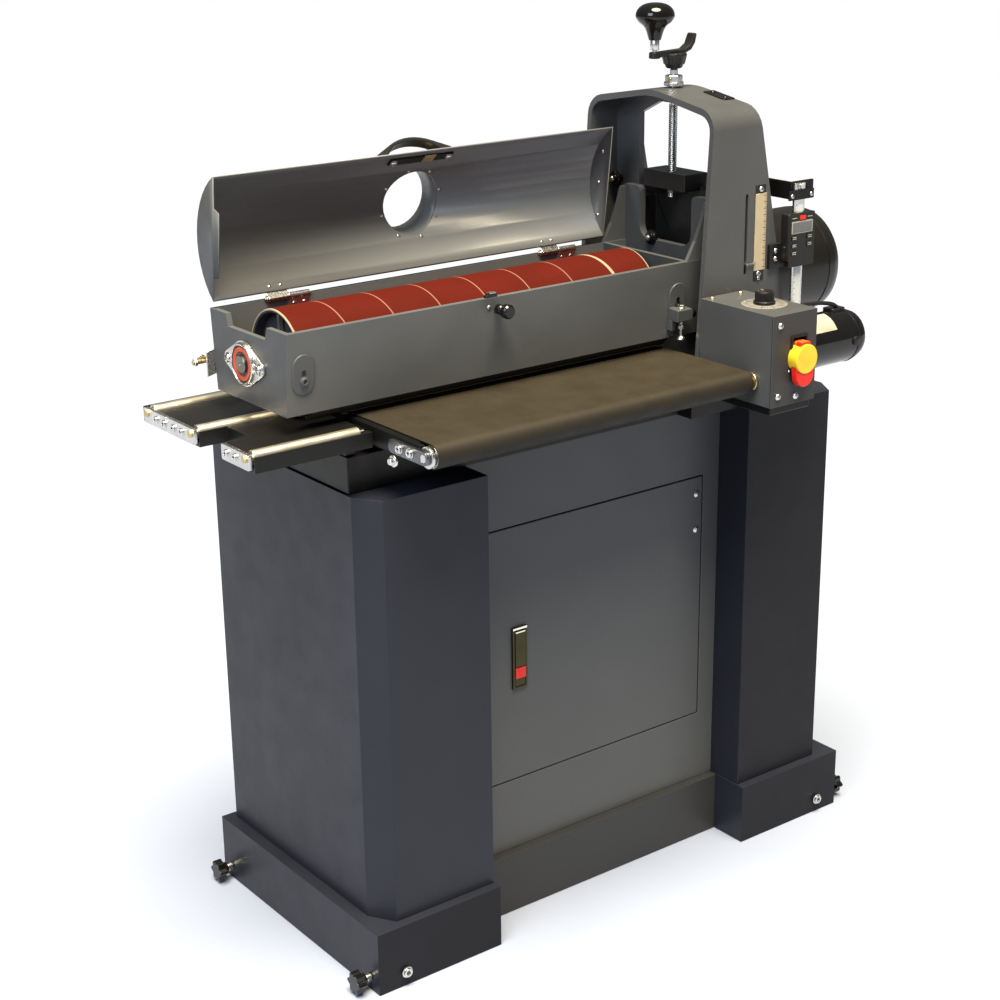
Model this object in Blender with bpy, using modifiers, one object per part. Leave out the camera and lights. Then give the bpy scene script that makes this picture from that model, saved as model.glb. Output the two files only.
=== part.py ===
"""Open-end drum sander on a closed cabinet stand, with its dust hood swung open.

Machine axes: X runs along the drum from the open end to the column, -Y is the infeed side where
the operator stands, +Z is up and the floor is at zero.  Every length is in metres.
"""
import math

import bmesh
import bpy
from mathutils import Matrix, Vector

# ---------------------------------------------------------------- driving dimensions
GAP = 0.0003                      # left between pieces that touch
SHEET = 0.0025                    # sheet steel of the cabinet
ORIGIN_SHIFT = (0.005, -0.0165, 0.0)  # puts the origin under the middle of the machine

# cabinet
CABINET_LEFT, CABINET_RIGHT = -0.4418, 0.5100
CABINET_FRONT, CABINET_BACK = -0.1457, 0.3105
CABINET_TOP = 0.752
PLINTH_WIDTH, PLINTH_TOP = 0.2235, 0.101
PLINTH_LEDGE_SIDE, PLINTH_LEDGE_FRONT, PLINTH_LEDGE_INNER = 0.0187, 0.015, 0.002
CHAMFER_X, CHAMFER_Y = 0.025, 0.041
BAY_RECESS = 0.065                # how far the door bay stands back from the plinths
DOOR_WIDTH, DOOR_BOTTOM, DOOR_TOP = 0.438, 0.221, 0.635
DOOR_GAP, DOOR_DEPTH = 0.002, 0.015
DOOR_PIVOT_INSET = 0.005

# tilt-to-roll wheels and their brake knobs
WHEEL_RADIUS, WHEEL_WIDTH, WHEEL_Z = 0.022, 0.020, 0.0240
WHEEL_FROM_SIDE, WHEEL_FROM_FRONT = 0.047, 0.024
AXLE_RADIUS = 0.005
BRAKE_Z, BRAKE_RADIUS, BRAKE_STANDOFF = 0.021, 0.017, 0.030

# machine base, side table and conveyor
BASE_TOP = 0.806
BASE_LEFT, BASE_RIGHT, BASE_FRONT, BASE_BACK = -0.420, 0.402, -0.080, 0.265
BELT_TOP, BELT_THICK = 0.854, 0.002
BELT_LEFT, BELT_RIGHT = -0.384, 0.182
ROLLER_RADIUS = 0.0155
ROLLER_Z = BELT_TOP - BELT_THICK - ROLLER_RADIUS
RAIL_THICK = 0.006
TABLE_TOP, TABLE_THICK = 0.848, 0.022
TABLE_LEFT, TABLE_RIGHT = -0.583, -0.402
IDLER_RADIUS = 0.0095
IDLER_Z = BELT_TOP - IDLER_RADIUS
IDLER_Y = {"front": -0.1025, "middle": 0.043, "rear": 0.169}

# drum and sanding head
DRUM_Y, DRUM_Z = 0.035, 0.9285
DRUM_RADIUS, DRUM_LEFT, DRUM_RIGHT = 0.0675, -0.456, 0.179
SHAFT_RADIUS = 0.0125
FRONT_ROLLER_Y = -0.228
REAR_ROLLER_Y = 2 * DRUM_Y - FRONT_ROLLER_Y
HEAD_LEFT, HEAD_RIGHT = -0.503, 0.246
HEAD_BOTTOM, HEAD_TOP, HEAD_WALL = 0.874, 0.989, 0.008
HEAD_FRONT_TOP, HEAD_FRONT_LOW = -0.076, -0.066
HEAD_REAR_TOP, HEAD_REAR_LOW = 0.127, 0.118
FLANGE_THICK, EAR_TOP = 0.012, 1.078
PRESS_RADIUS, PRESS_Z = 0.010, 0.8690
PRESS_Y = {"infeed": -0.044, "outfeed": 0.097}

# column
COLUMN_HALF, COLUMN_CROWN, COLUMN_SHOULDER = 0.145, 1.236, 1.212
COLUMN_WALL, WEB_LEFT, WEB_RIGHT, WINDOW_HALF = 0.009, 0.272, 0.282, 0.082
SCREW_X, SCREW_RADIUS = 0.268, 0.007
CRANK_THROW = 0.040

# hood
HINGE_Y, HINGE_Z = 0.117, 0.991
HOOD_LEFT, HOOD_RIGHT = -0.503, 0.199
HOOD_START, HOOD_CHORD, HOOD_BULGE = 0.008, 0.184, 0.045
HOOD_SHEET, HOOD_LEAN = 0.002, math.radians(6.5)
PORT_X, PORT_RADIUS = -0.149, 0.050

# control box
BOX_LEFT, BOX_RIGHT = 0.1955, 0.285
BOX_FRONT, BOX_BACK = -0.268, -0.1135
BOX_BOTTOM, BOX_TOP = 0.802, 0.940
KNOB_X, KNOB_Y = 0.243, -0.200

STEEL_BLUE = (0.17, 0.19, 0.22)
CABINET_GREY = (0.10, 0.11, 0.13)
BLACK = (0.015, 0.015, 0.016)
BELT_BLACK = (0.045, 0.038, 0.028)
ZINC = (0.72, 0.71, 0.68)
RED = (0.75, 0.04, 0.02)
GRIT_RED = (0.33, 0.06, 0.03)


# ---------------------------------------------------------------- scene and materials
def clear_scene():
    for obj in list(bpy.data.objects):
        bpy.data.objects.remove(obj, do_unlink=True)


def new_collection(name):
    collection = bpy.data.collections.new(name)
    bpy.context.scene.collection.children.link(collection)
    return collection


def paint(name, colour, roughness=0.45, metallic=0.0):
    """A Principled BSDF material, made once for each name."""
    material = bpy.data.materials.get(name)
    if material is None:
        material = bpy.data.materials.new(name)
        material.use_nodes = True
        shader = material.node_tree.nodes["Principled BSDF"]
        shader.inputs["Base Color"].default_value = (*colour, 1.0)
        shader.inputs["Roughness"].default_value = roughness
        shader.inputs["Metallic"].default_value = metallic
    return material


clear_scene()
PARTS = new_collection("drum_sander")
CUTTERS = new_collection("cutters")
FRAME = bpy.data.objects.new("machine_origin", None)
FRAME.location = ORIGIN_SHIFT
PARTS.objects.link(FRAME)


# ---------------------------------------------------------------- shapes
def place(name, mesh, matrix=None):
    obj = bpy.data.objects.new(name, mesh)
    PARTS.objects.link(obj)
    obj.parent = FRAME
    if matrix is not None:
        mesh.transform(matrix)
    return obj


def mesh_from(name, bm):
    mesh = bpy.data.meshes.new(name)
    bm.to_mesh(mesh)
    bm.free()
    return mesh


def box(name, low, high):
    low, high = Vector(low), Vector(high)
    size = high - low
    bm = bmesh.new()
    matrix = Matrix.Translation((low + high) / 2) @ Matrix.Diagonal((*size, 1.0))
    bmesh.ops.create_cube(bm, size=1.0, matrix=matrix)
    return place(name, mesh_from(name, bm))


def along(direction):
    """The rotation that turns +Z towards a direction."""
    return Vector(direction).to_track_quat("Z", "Y").to_matrix().to_4x4()


def rod(name, start, end, radius, end_radius=None, sides=24):
    start, end = Vector(start), Vector(end)
    bm = bmesh.new()
    matrix = Matrix.Translation((start + end) / 2) @ along(end - start)
    bmesh.ops.create_cone(bm, cap_ends=True, segments=sides, radius1=radius,
                          radius2=radius if end_radius is None else end_radius,
                          depth=(end - start).length, matrix=matrix)
    return place(name, mesh_from(name, bm))


def turned(name, profile, foot, direction, sides=28, ring=False):
    """A turned piece: its profile lists (radius, height) down the outer side, from the far end."""
    bm = bmesh.new()
    verts = [bm.verts.new((radius, 0.0, height)) for radius, height in profile]
    for first, second in zip(verts, verts[1:]):
        bm.edges.new((first, second))
    if ring:
        bm.edges.new((verts[-1], verts[0]))
    mesh = mesh_from(name, bm)
    obj = place(name, mesh)
    obj.matrix_local = Matrix.Translation(foot) @ along(direction)
    screw = obj.modifiers.new("turn", "SCREW")
    screw.axis = "Z"
    screw.steps = sides
    screw.render_steps = sides
    screw.use_merge_vertices = True
    screw.merge_threshold = 0.00005
    screw.use_smooth_shade = True
    return obj


PLANES = {
    "XY": Matrix(((1, 0, 0, 0), (0, 1, 0, 0), (0, 0, 1, 0), (0, 0, 0, 1))),
    "YZ": Matrix(((0, 0, 1, 0), (1, 0, 0, 0), (0, 1, 0, 0), (0, 0, 0, 1))),
    "XZ": Matrix(((1, 0, 0, 0), (0, 0, -1, 0), (0, 1, 0, 0), (0, 0, 0, 1))),
}


def slab(name, plane, low, high, outline, *holes):
    """A flat outline in a plane, filled and extruded across it from low to high."""
    curve = bpy.data.curves.new(name, "CURVE")
    curve.dimensions = "2D"
    curve.fill_mode = "BOTH"
    curve.extrude = (high - low) / 2
    for loop in (outline, *holes):
        spline = curve.splines.new("POLY")
        spline.points.add(len(loop) - 1)
        for point, (across, up) in zip(spline.points, loop):
            point.co = (across, up, 0.0, 1.0)
        spline.use_cyclic_u = True
    drawn = bpy.data.objects.new(name + "_outline", curve)
    PARTS.objects.link(drawn)
    graph = bpy.context.evaluated_depsgraph_get()
    mesh = bpy.data.meshes.new_from_object(drawn.evaluated_get(graph))
    bpy.data.objects.remove(drawn, do_unlink=True)
    bm = bmesh.new()
    bm.from_mesh(mesh)
    bmesh.ops.remove_doubles(bm, verts=bm.verts, dist=0.00001)
    bm.to_mesh(mesh)
    bm.free()
    mesh.name = name
    middle = (low + high) / 2 * (-1 if plane == "XZ" else 1)
    return place(name, mesh, PLANES[plane] @ Matrix.Translation((0, 0, middle)))


def arc(centre, radius, start, end, steps):
    """Points on an arc, with its angles in degrees."""
    points = []
    for step in range(steps + 1):
        angle = math.radians(start + (end - start) * step / steps)
        points.append((centre[0] + radius * math.cos(angle), centre[1] + radius * math.sin(angle)))
    return points


def circle(centre, radius, sides=24):
    return arc(centre, radius, 0, 360 * (sides - 1) / sides, sides - 1)


def rectangle(left, low, right, high):
    return [(left, low), (right, low), (right, high), (left, high)]


def rounded(corners, steps=4):
    """An outline from (across, up, radius) corners, each rounded by its own radius."""
    points = []
    for index, (across, up, radius) in enumerate(corners):
        corner = Vector((across, up))
        if radius == 0:
            points.append((across, up))
            continue
        before = Vector(corners[index - 1][:2]) - corner
        after = Vector(corners[(index + 1) % len(corners)][:2]) - corner
        before.normalize()
        after.normalize()
        half = before.angle(after) / 2
        centre = corner + (before + after).normalized() * (radius / math.sin(half))
        first = corner + before * (radius / math.tan(half)) - centre
        last = corner + after * (radius / math.tan(half)) - centre
        turn = first.angle_signed(last)
        for step in range(steps + 1):
            offset = first.copy()
            offset.rotate(Matrix.Rotation(-turn * step / steps, 2))
            points.append(tuple(centre + offset))
    return points


# ---------------------------------------------------------------- joining, cutting, finishing
def combine(obj, operation, others):
    for other in others:
        PARTS.objects.unlink(other)
        CUTTERS.objects.link(other)
        other.hide_render = True
        other.display_type = "WIRE"
        step = obj.modifiers.new(operation.lower(), "BOOLEAN")
        step.operation = operation
        step.solver = "EXACT"
        step.object = other
    return obj


def cut(obj, *others):
    return combine(obj, "DIFFERENCE", others)


def join(obj, *others):
    return combine(obj, "UNION", others)


def meet(obj, *others):
    return combine(obj, "INTERSECT", others)


def soften(obj, width, segments=1):
    bevel = obj.modifiers.new("edges", "BEVEL")
    bevel.width = width
    bevel.segments = segments
    bevel.limit_method = "ANGLE"
    bevel.angle_limit = math.radians(40)
    return obj


def pivot(obj, point):
    """Moves a piece's origin to a point on its joint axis, leaving its shape in place."""
    obj.data.transform(Matrix.Translation(-Vector(point)))
    obj.location = point
    return obj


def finish(obj, material):
    """Gives a piece its material, and shades its round faces smooth up to their sharp edges."""
    obj.data.materials.clear()
    obj.data.materials.append(material)
    if obj.type == "MESH" and obj.data.polygons:
        for polygon in obj.data.polygons:
            polygon.use_smooth = True
        obj.data.set_sharp_from_angle(angle=math.radians(40))
    return obj


CASTING = paint("casting_paint", STEEL_BLUE, 0.38)
CABINET = paint("cabinet_paint", CABINET_GREY, 0.42)
BLACK_PAINT = paint("black_paint", BLACK, 0.40)
PLATED = paint("zinc_plate", ZINC, 0.28, 1.0)
PLASTIC = paint("black_plastic", BLACK, 0.25)
RUBBER = paint("wheel_rubber", BLACK, 0.70)


# ---------------------------------------------------------------- cabinet
MIRROR_SUM = CABINET_LEFT + CABINET_RIGHT
SIDES = {"left": CABINET_LEFT, "right": CABINET_RIGHT}
ENDS = {"front": CABINET_FRONT, "rear": CABINET_BACK}


def on_side(side, x):
    """Mirrors an X that is given for the left of the cabinet onto the named side."""
    return x if side == "left" else MIRROR_SUM - x


def inward(side):
    return 1 if side == "left" else -1


def pedestal(side):
    outer = CABINET_LEFT + PLINTH_LEDGE_SIDE
    inner = CABINET_LEFT + PLINTH_WIDTH - PLINTH_LEDGE_INNER
    front = CABINET_FRONT + PLINTH_LEDGE_FRONT
    back = CABINET_BACK - PLINTH_LEDGE_FRONT

    def plan(inset):
        points = [(outer + inset, front + CHAMFER_Y), (outer + CHAMFER_X, front + inset),
                  (inner - inset, front + inset), (inner - inset, back - inset),
                  (outer + inset, back - inset)]
        points = [(on_side(side, x), y) for x, y in points]
        return points if side == "left" else points[::-1]

    name = side + "_pedestal"
    shell = slab(name, "XY", PLINTH_TOP + GAP, CABINET_TOP, plan(0.0))
    hollow = slab(name + "_hollow", "XY", PLINTH_TOP - 0.01, CABINET_TOP - SHEET, plan(SHEET))
    return finish(cut(shell, hollow), CABINET)


def plinth(side):
    """A sheet box, open underneath, with a ledge round its top and two wheel axles through it."""
    name = side + "_plinth"
    outer = CABINET_LEFT
    inner = CABINET_LEFT + PLINTH_WIDTH
    spans = sorted((on_side(side, outer), on_side(side, inner)))
    shell = box(name, (spans[0], CABINET_FRONT, 0.0), (spans[1], CABINET_BACK, PLINTH_TOP))
    hollow = box(name + "_hollow", (spans[0] + SHEET, CABINET_FRONT + SHEET, -0.01),
                 (spans[1] - SHEET, CABINET_BACK - SHEET, PLINTH_TOP - SHEET))
    ledge = 0.045
    mouth = box(name + "_mouth", (spans[0] + ledge, CABINET_FRONT + ledge, PLINTH_TOP - 0.02),
                (spans[1] - ledge, CABINET_BACK - ledge, PLINTH_TOP + 0.01))
    cut(shell, hollow, mouth)
    for end, wall in ENDS.items():
        sign = 1 if end == "front" else -1
        x = on_side(side, CABINET_LEFT + WHEEL_FROM_SIDE)
        axle = rod(name + "_" + end + "_axle", (x, wall - sign * 0.003, WHEEL_Z),
                   (x, wall + sign * (WHEEL_FROM_FRONT + WHEEL_WIDTH / 2 + 0.006), WHEEL_Z),
                   AXLE_RADIUS, sides=16)
        y = wall + sign * WHEEL_FROM_FRONT
        stud_hole = rod(name + "_" + end + "_stud_hole", (on_side(side, outer - 0.01), y, BRAKE_Z),
                        (on_side(side, outer + 0.01), y, BRAKE_Z), 0.0045, sides=16)
        join(shell, axle)
        cut(shell, stud_hole)
    return finish(shell, CABINET)


def wheel(end, side):
    half = WHEEL_WIDTH / 2
    bore = AXLE_RADIUS + 0.0004
    profile = [(bore, half), (WHEEL_RADIUS - 0.002, half), (WHEEL_RADIUS, half - 0.002),
               (WHEEL_RADIUS, 0.002 - half), (WHEEL_RADIUS - 0.002, -half), (bore, -half)]
    y = ENDS[end] + WHEEL_FROM_FRONT * (1 if end == "front" else -1)
    x = on_side(side, CABINET_LEFT + WHEEL_FROM_SIDE)
    return finish(turned(f"{end}_{side}_wheel", profile, (x, y, WHEEL_Z), (0, 1, 0), 20, ring=True),
                  RUBBER)


def brake_knob(end, side):
    """A six-lobed knob whose stud runs through the plinth and bears on the wheel's tread."""
    y = ENDS[end] + WHEEL_FROM_FRONT * (1 if end == "front" else -1)
    sign = inward(side)
    face = SIDES[side] - sign * BRAKE_STANDOFF
    lobes = []
    for step in range(36):
        angle = 2 * math.pi * step / 36
        radius = BRAKE_RADIUS - 0.0025 + 0.0025 * math.cos(6 * angle)
        lobes.append((y + radius * math.cos(angle), BRAKE_Z + radius * math.sin(angle)))
    spans = sorted((face, face + sign * 0.014))
    name = f"{end}_{side}_brake_knob"
    knob = slab(name, "YZ", spans[0], spans[1], lobes)
    hub = rod(name + "_hub", (face + sign * 0.010, y, BRAKE_Z), (face + sign * 0.020, y, BRAKE_Z),
              0.009, sides=16)
    tread = CABINET_LEFT + WHEEL_FROM_SIDE - WHEEL_RADIUS
    stud = rod(name + "_stud", (face + sign * 0.012, y, BRAKE_Z),
               (on_side(side, tread - 0.0006), y, BRAKE_Z), 0.004, sides=12)
    join(knob, hub, stud)
    return finish(pivot(knob, (face, y, BRAKE_Z)), PLASTIC)


BAY_LEFT = CABINET_LEFT + PLINTH_WIDTH
BAY_RIGHT = MIRROR_SUM - BAY_LEFT
PANEL_Y = CABINET_FRONT + BAY_RECESS + PLINTH_LEDGE_FRONT
DOOR_LEFT = (BAY_LEFT + BAY_RIGHT - DOOR_WIDTH) / 2
DOOR_RIGHT = DOOR_LEFT + DOOR_WIDTH
LATCH_X, LATCH_LOW, LATCH_HIGH, LATCH_WIDTH = -0.119, 0.373, 0.474, 0.028


def centre_plinth():
    front = CABINET_FRONT + BAY_RECESS
    shell = box("centre_plinth", (BAY_LEFT + GAP, front, 0.0), (BAY_RIGHT - GAP, CABINET_BACK, PLINTH_TOP))
    hollow = box("centre_plinth_hollow", (BAY_LEFT + SHEET, front + SHEET, -0.01),
                 (BAY_RIGHT - SHEET, CABINET_BACK - SHEET, PLINTH_TOP - SHEET))
    return finish(cut(shell, hollow), CABINET)


def bay_panels():
    left = BAY_LEFT - PLINTH_LEDGE_INNER + GAP
    right = BAY_RIGHT + PLINTH_LEDGE_INNER - GAP
    opening = rectangle(DOOR_LEFT - DOOR_GAP, DOOR_BOTTOM - DOOR_GAP,
                        DOOR_RIGHT + DOOR_GAP, DOOR_TOP + DOOR_GAP)
    frame = slab("front_frame", "XZ", PANEL_Y, PANEL_Y + SHEET,
                 rectangle(left, PLINTH_TOP + GAP, right, CABINET_TOP), opening)
    back_face = CABINET_BACK - PLINTH_LEDGE_FRONT
    back = box("back_panel", (left, back_face - SHEET, PLINTH_TOP + GAP), (right, back_face, CABINET_TOP))
    return finish(frame, CABINET), finish(back, CABINET)


def door():
    """A folded sheet pan with its flanges turned into the cabinet."""
    pan = box("door", (DOOR_LEFT, PANEL_Y, DOOR_BOTTOM), (DOOR_RIGHT, PANEL_Y + DOOR_DEPTH, DOOR_TOP))
    inside = box("door_inside", (DOOR_LEFT + SHEET, PANEL_Y + SHEET, DOOR_BOTTOM + SHEET),
                 (DOOR_RIGHT - SHEET, PANEL_Y + DOOR_DEPTH + 0.01, DOOR_TOP - SHEET))
    half = LATCH_WIDTH / 2 - 0.002
    window = box("door_latch_window", (LATCH_X - half, PANEL_Y - 0.01, LATCH_LOW + 0.002),
                 (LATCH_X + half, PANEL_Y + 0.01, LATCH_HIGH - 0.002))
    cut(pan, inside, window)
    return finish(pivot(pan, (DOOR_RIGHT - DOOR_PIVOT_INSET, PANEL_Y, DOOR_BOTTOM)), CABINET)


def latch():
    """A paddle latch: a cup in the door, a lever that swings out of it and a push button."""
    half = LATCH_WIDTH / 2
    proud = PANEL_Y - 0.004
    chrome = paint("latch_chrome", (0.45, 0.40, 0.30), 0.30, 1.0)
    body = box("latch_body", (LATCH_X - half, proud, LATCH_LOW), (LATCH_X + half, PANEL_Y - GAP, LATCH_HIGH))
    plug = half - 0.0025
    cup = box("latch_cup", (LATCH_X - plug, PANEL_Y - 0.003, LATCH_LOW + 0.0025),
              (LATCH_X + plug, PANEL_Y + 0.014, LATCH_HIGH - 0.0025))
    pocket_half = half - 0.004
    pocket = box("latch_pocket", (LATCH_X - pocket_half, proud - 0.01, LATCH_LOW + 0.004),
                 (LATCH_X + pocket_half, PANEL_Y + 0.010, LATCH_HIGH - 0.004))
    join(body, cup)
    cut(body, pocket)
    finish(body, chrome)
    slack = pocket_half - 0.0005
    split = LATCH_LOW + 0.036
    lever = box("latch_lever", (LATCH_X - slack, proud - 0.001, split),
                (LATCH_X + slack, proud + 0.004, LATCH_HIGH - 0.0065))
    pivot(lever, (LATCH_X, proud + 0.001, LATCH_HIGH - 0.0095))
    finish(lever, chrome)
    button = box("latch_button", (LATCH_X - slack, proud - 0.0015, LATCH_LOW + 0.0045),
                 (LATCH_X + slack, proud + 0.006, split - 0.001))
    finish(pivot(button, (LATCH_X, proud, LATCH_LOW + 0.02)), paint("button_red", RED, 0.3))


# ---------------------------------------------------------------- base, side table, conveyor
def machine_base():
    column_front = DRUM_Y - COLUMN_HALF - 0.003
    plan = [(BASE_LEFT, BASE_FRONT), (BELT_RIGHT, BASE_FRONT), (BELT_RIGHT, column_front),
            (BASE_RIGHT, column_front), (BASE_RIGHT, BASE_BACK), (BASE_LEFT, BASE_BACK)]
    wall = 0.007
    hollow_plan = [(BASE_LEFT + wall, BASE_FRONT + wall), (BELT_RIGHT + wall, BASE_FRONT + wall),
                   (BELT_RIGHT + wall, column_front + wall), (BASE_RIGHT - wall, column_front + wall),
                   (BASE_RIGHT - wall, BASE_BACK - wall), (BASE_LEFT + wall, BASE_BACK - wall)]
    base = slab("machine_base", "XY", CABINET_TOP + GAP, BASE_TOP, plan)
    tongue = box("base_tongue", (BOX_LEFT + 0.004, BOX_FRONT + 0.006, BOX_BOTTOM - 0.013),
                 (BOX_RIGHT - 0.003, column_front + 0.01, BOX_BOTTOM - GAP))
    hollow = slab("base_hollow", "XY", CABINET_TOP - 0.01, BASE_TOP - wall, hollow_plan)
    join(base, tongue)
    cut(base, hollow)
    return finish(base, BLACK_PAINT)


def side_table():
    """The open-end support table, with a channel along it for each idler roller."""
    recess = TABLE_LEFT + 0.042
    plan = [(TABLE_LEFT, -0.1175), (TABLE_RIGHT, -0.1175), (TABLE_RIGHT, 0.193), (TABLE_LEFT, 0.193),
            (TABLE_LEFT, 0.030), (recess, 0.030), (recess, -0.034), (TABLE_LEFT, -0.034)]
    table = slab("side_table", "XY", TABLE_TOP - TABLE_THICK, TABLE_TOP, plan)
    web = box("side_table_web", (BASE_LEFT + 0.001, -0.075, BASE_TOP + GAP),
              (TABLE_RIGHT - 0.001, 0.190, TABLE_TOP - TABLE_THICK + 0.004))
    join(table, web)
    for name, y in IDLER_Y.items():
        channel = box(name + "_channel", (TABLE_LEFT - 0.01, y - IDLER_RADIUS - 0.0015, IDLER_Z - 0.012),
                      (TABLE_RIGHT - 0.012, y + IDLER_RADIUS + 0.0015, TABLE_TOP + 0.01))
        socket = rod(name + "_socket", (TABLE_RIGHT - 0.014, y, IDLER_Z), (TABLE_RIGHT + 0.01, y, IDLER_Z),
                     0.0044, sides=12)
        cut(table, channel, socket)
    return finish(table, BLACK_PAINT)


BRACKET_SPANS = {"front": (-0.112, -0.040), "middle": (0.034, 0.1125), "rear": (0.1135, 0.179)}


def idlers():
    for name, y in IDLER_Y.items():
        left, right = TABLE_LEFT + 0.003, TABLE_RIGHT - 0.0145
        length = right - left
        profile = [(0.0, length + 0.010), (0.004, length + 0.010), (0.004, length), (IDLER_RADIUS, length),
                   (IDLER_RADIUS, 0.0), (0.004, 0.0), (0.004, -0.008), (0.0, -0.008)]
        finish(turned(name + "_idler_roller", profile, (left, y, IDLER_Z), (1, 0, 0), 24), PLATED)
        low, high = BRACKET_SPANS[name]
        bracket = slab(name + "_idler_bracket", "YZ", TABLE_LEFT - 0.006, TABLE_LEFT - GAP,
                       rounded([(low, 0.829, 0.003), (high, 0.829, 0.003), (high, 0.851, 0.003),
                                (low, 0.851, 0.003)], 2),
                       circle((y, IDLER_Z), 0.0044, 12)[::-1])
        finish(bracket, PLATED)


def conveyor_bed():
    """The platen between the belt's two runs, carried by a rail along each edge of the belt."""
    top = BELT_TOP - BELT_THICK - 2 * GAP
    front = FRONT_ROLLER_Y + ROLLER_RADIUS + 0.008
    back = REAR_ROLLER_Y - ROLLER_RADIUS - 0.008
    low = ROLLER_Z - 0.011
    left_rail = BELT_LEFT - 0.002 - RAIL_THICK
    right_rail = BELT_RIGHT + 0.0012
    bed = box("conveyor_bed", (left_rail + 0.003, front, low), (right_rail + 0.002, back, top))
    hollow = box("bed_hollow", (BELT_LEFT + 0.02, front + 0.012, low - 0.01),
                 (BELT_RIGHT - 0.02, back - 0.012, top - 0.004))
    cut(bed, hollow)
    ends = (FRONT_ROLLER_Y + 0.012, REAR_ROLLER_Y - 0.012)
    for name, inner, outer in (("left_rail", left_rail, left_rail + RAIL_THICK),
                               ("right_rail", right_rail, right_rail + 0.004)):
        join(bed, box(name, (inner, ends[0], 0.8245), (outer, ends[1], 0.8505)))
        for foot, start, stop in (("_front_foot", -0.070, -0.010), ("_rear_foot", 0.120, 0.180)):
            join(bed, box(name + foot, (inner + 0.0005, start, BASE_TOP + GAP), (outer - 0.0005, stop, 0.835)))
    return finish(bed, BLACK_PAINT)


def stadium(radius, steps=12):
    return (arc((REAR_ROLLER_Y, ROLLER_Z), radius, -90, 90, steps)
            + arc((FRONT_ROLLER_Y, ROLLER_Z), radius, 90, 270, steps))


def conveyor():
    belt = slab("conveyor_belt", "YZ", BELT_LEFT, BELT_RIGHT, stadium(ROLLER_RADIUS + BELT_THICK),
                stadium(ROLLER_RADIUS + 2 * GAP)[::-1])
    finish(belt, paint("conveyor_abrasive", BELT_BLACK, 0.75))
    length = BELT_RIGHT - BELT_LEFT
    left_shaft, shaft = 0.0135, 0.006
    for name, y, right_shaft in (("drive_roller", FRONT_ROLLER_Y, 0.030), ("tail_roller", REAR_ROLLER_Y, 0.010)):
        profile = [(0.0, length + right_shaft), (shaft, length + right_shaft), (shaft, length),
                   (ROLLER_RADIUS, length), (ROLLER_RADIUS, 0.0), (shaft, 0.0), (shaft, -left_shaft),
                   (0.0, -left_shaft)]
        finish(turned(name, profile, (BELT_LEFT, y, ROLLER_Z), (1, 0, 0), 24), PLATED)
    for name, y, sign in (("front_takeup", FRONT_ROLLER_Y, 1), ("rear_takeup", REAR_ROLLER_Y, -1)):
        spans = sorted((y - sign * 0.010, y + sign * 0.080))
        outline = rounded([(spans[0], 0.8270, 0.008), (spans[1], 0.8270, 0.008), (spans[1], 0.8465, 0.008),
                           (spans[0], 0.8465, 0.008)], 3)
        outer = BELT_LEFT - 0.002 - RAIL_THICK
        bracket = slab(name, "YZ", outer - 0.006, outer - GAP, outline,
                       circle((y, ROLLER_Z), 0.0064, 16)[::-1])
        finish(bracket, PLATED)


# ---------------------------------------------------------------- control box and feed drive
SWITCH_X = 0.249


def control_box():
    shell = box("control_box", (BOX_LEFT, BOX_FRONT, BOX_BOTTOM), (BOX_RIGHT, BOX_BACK, BOX_TOP))
    hollow = box("control_box_hollow", (BOX_LEFT + SHEET, BOX_FRONT + SHEET, BOX_BOTTOM - 0.01),
                 (BOX_RIGHT - SHEET, BOX_BACK - SHEET, BOX_TOP - SHEET))
    shaft_hole = rod("box_shaft_hole", (BOX_LEFT - 0.01, FRONT_ROLLER_Y, ROLLER_Z),
                     (BOX_LEFT + 0.01, FRONT_ROLLER_Y, ROLLER_Z), 0.0075, sides=16)
    window = box("box_switch_window", (SWITCH_X - 0.0162, BOX_FRONT - 0.01, 0.8448),
                 (SWITCH_X + 0.0162, BOX_FRONT + 0.01, 0.9052))
    knob_hole = rod("box_knob_hole", (KNOB_X, KNOB_Y, BOX_TOP - 0.01), (KNOB_X, KNOB_Y, BOX_TOP + 0.01),
                    0.0045, sides=12)
    cut(shell, hollow, shaft_hole, window, knob_hole)
    return finish(shell, CASTING)


def controls():
    knob_profile = [(0.0, 0.020), (0.0125, 0.020), (0.0135, 0.0185), (0.0140, 0.006), (0.0165, 0.005),
                    (0.0165, 0.0008), (0.0035, 0.0008), (0.0035, -0.010), (0.0, -0.010)]
    finish(turned("speed_knob", knob_profile, (KNOB_X, KNOB_Y, BOX_TOP), (0, 0, 1), 24), PLASTIC)
    body = box("switch_body", (SWITCH_X - 0.0159, BOX_FRONT - 0.002, 0.8451),
               (SWITCH_X + 0.0159, BOX_FRONT + 0.040, 0.9049))
    well = box("switch_well", (SWITCH_X - 0.0135, BOX_FRONT - 0.01, 0.848),
               (SWITCH_X + 0.0135, BOX_FRONT + 0.014, 0.902))
    finish(cut(body, well), PLASTIC)
    low_y, high_y = BOX_FRONT - 0.0145, BOX_FRONT - 0.0040
    outline = (arc((SWITCH_X, 0.872), 0.0215, -25, 60, 6) + [(SWITCH_X + 0.009, 0.897), (SWITCH_X - 0.009, 0.897)]
               + arc((SWITCH_X, 0.872), 0.0215, 120, 205, 6) + arc((SWITCH_X, 0.8465), 0.0172, 190, 350, 8))
    paddle = slab("switch_paddle", "XZ", low_y, high_y, outline)
    arm = box("paddle_arm", (SWITCH_X - 0.008, BOX_FRONT - 0.009, 0.885),
              (SWITCH_X + 0.008, BOX_FRONT + 0.010, 0.8945))
    join(paddle, arm)
    finish(pivot(paddle, (SWITCH_X, BOX_FRONT + 0.006, 0.890)), paint("paddle_red", RED, 0.35))


FEED_Y, FEED_Z, FEED_RADIUS, FEED_END = -0.207, 0.869, 0.041, 0.426


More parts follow.
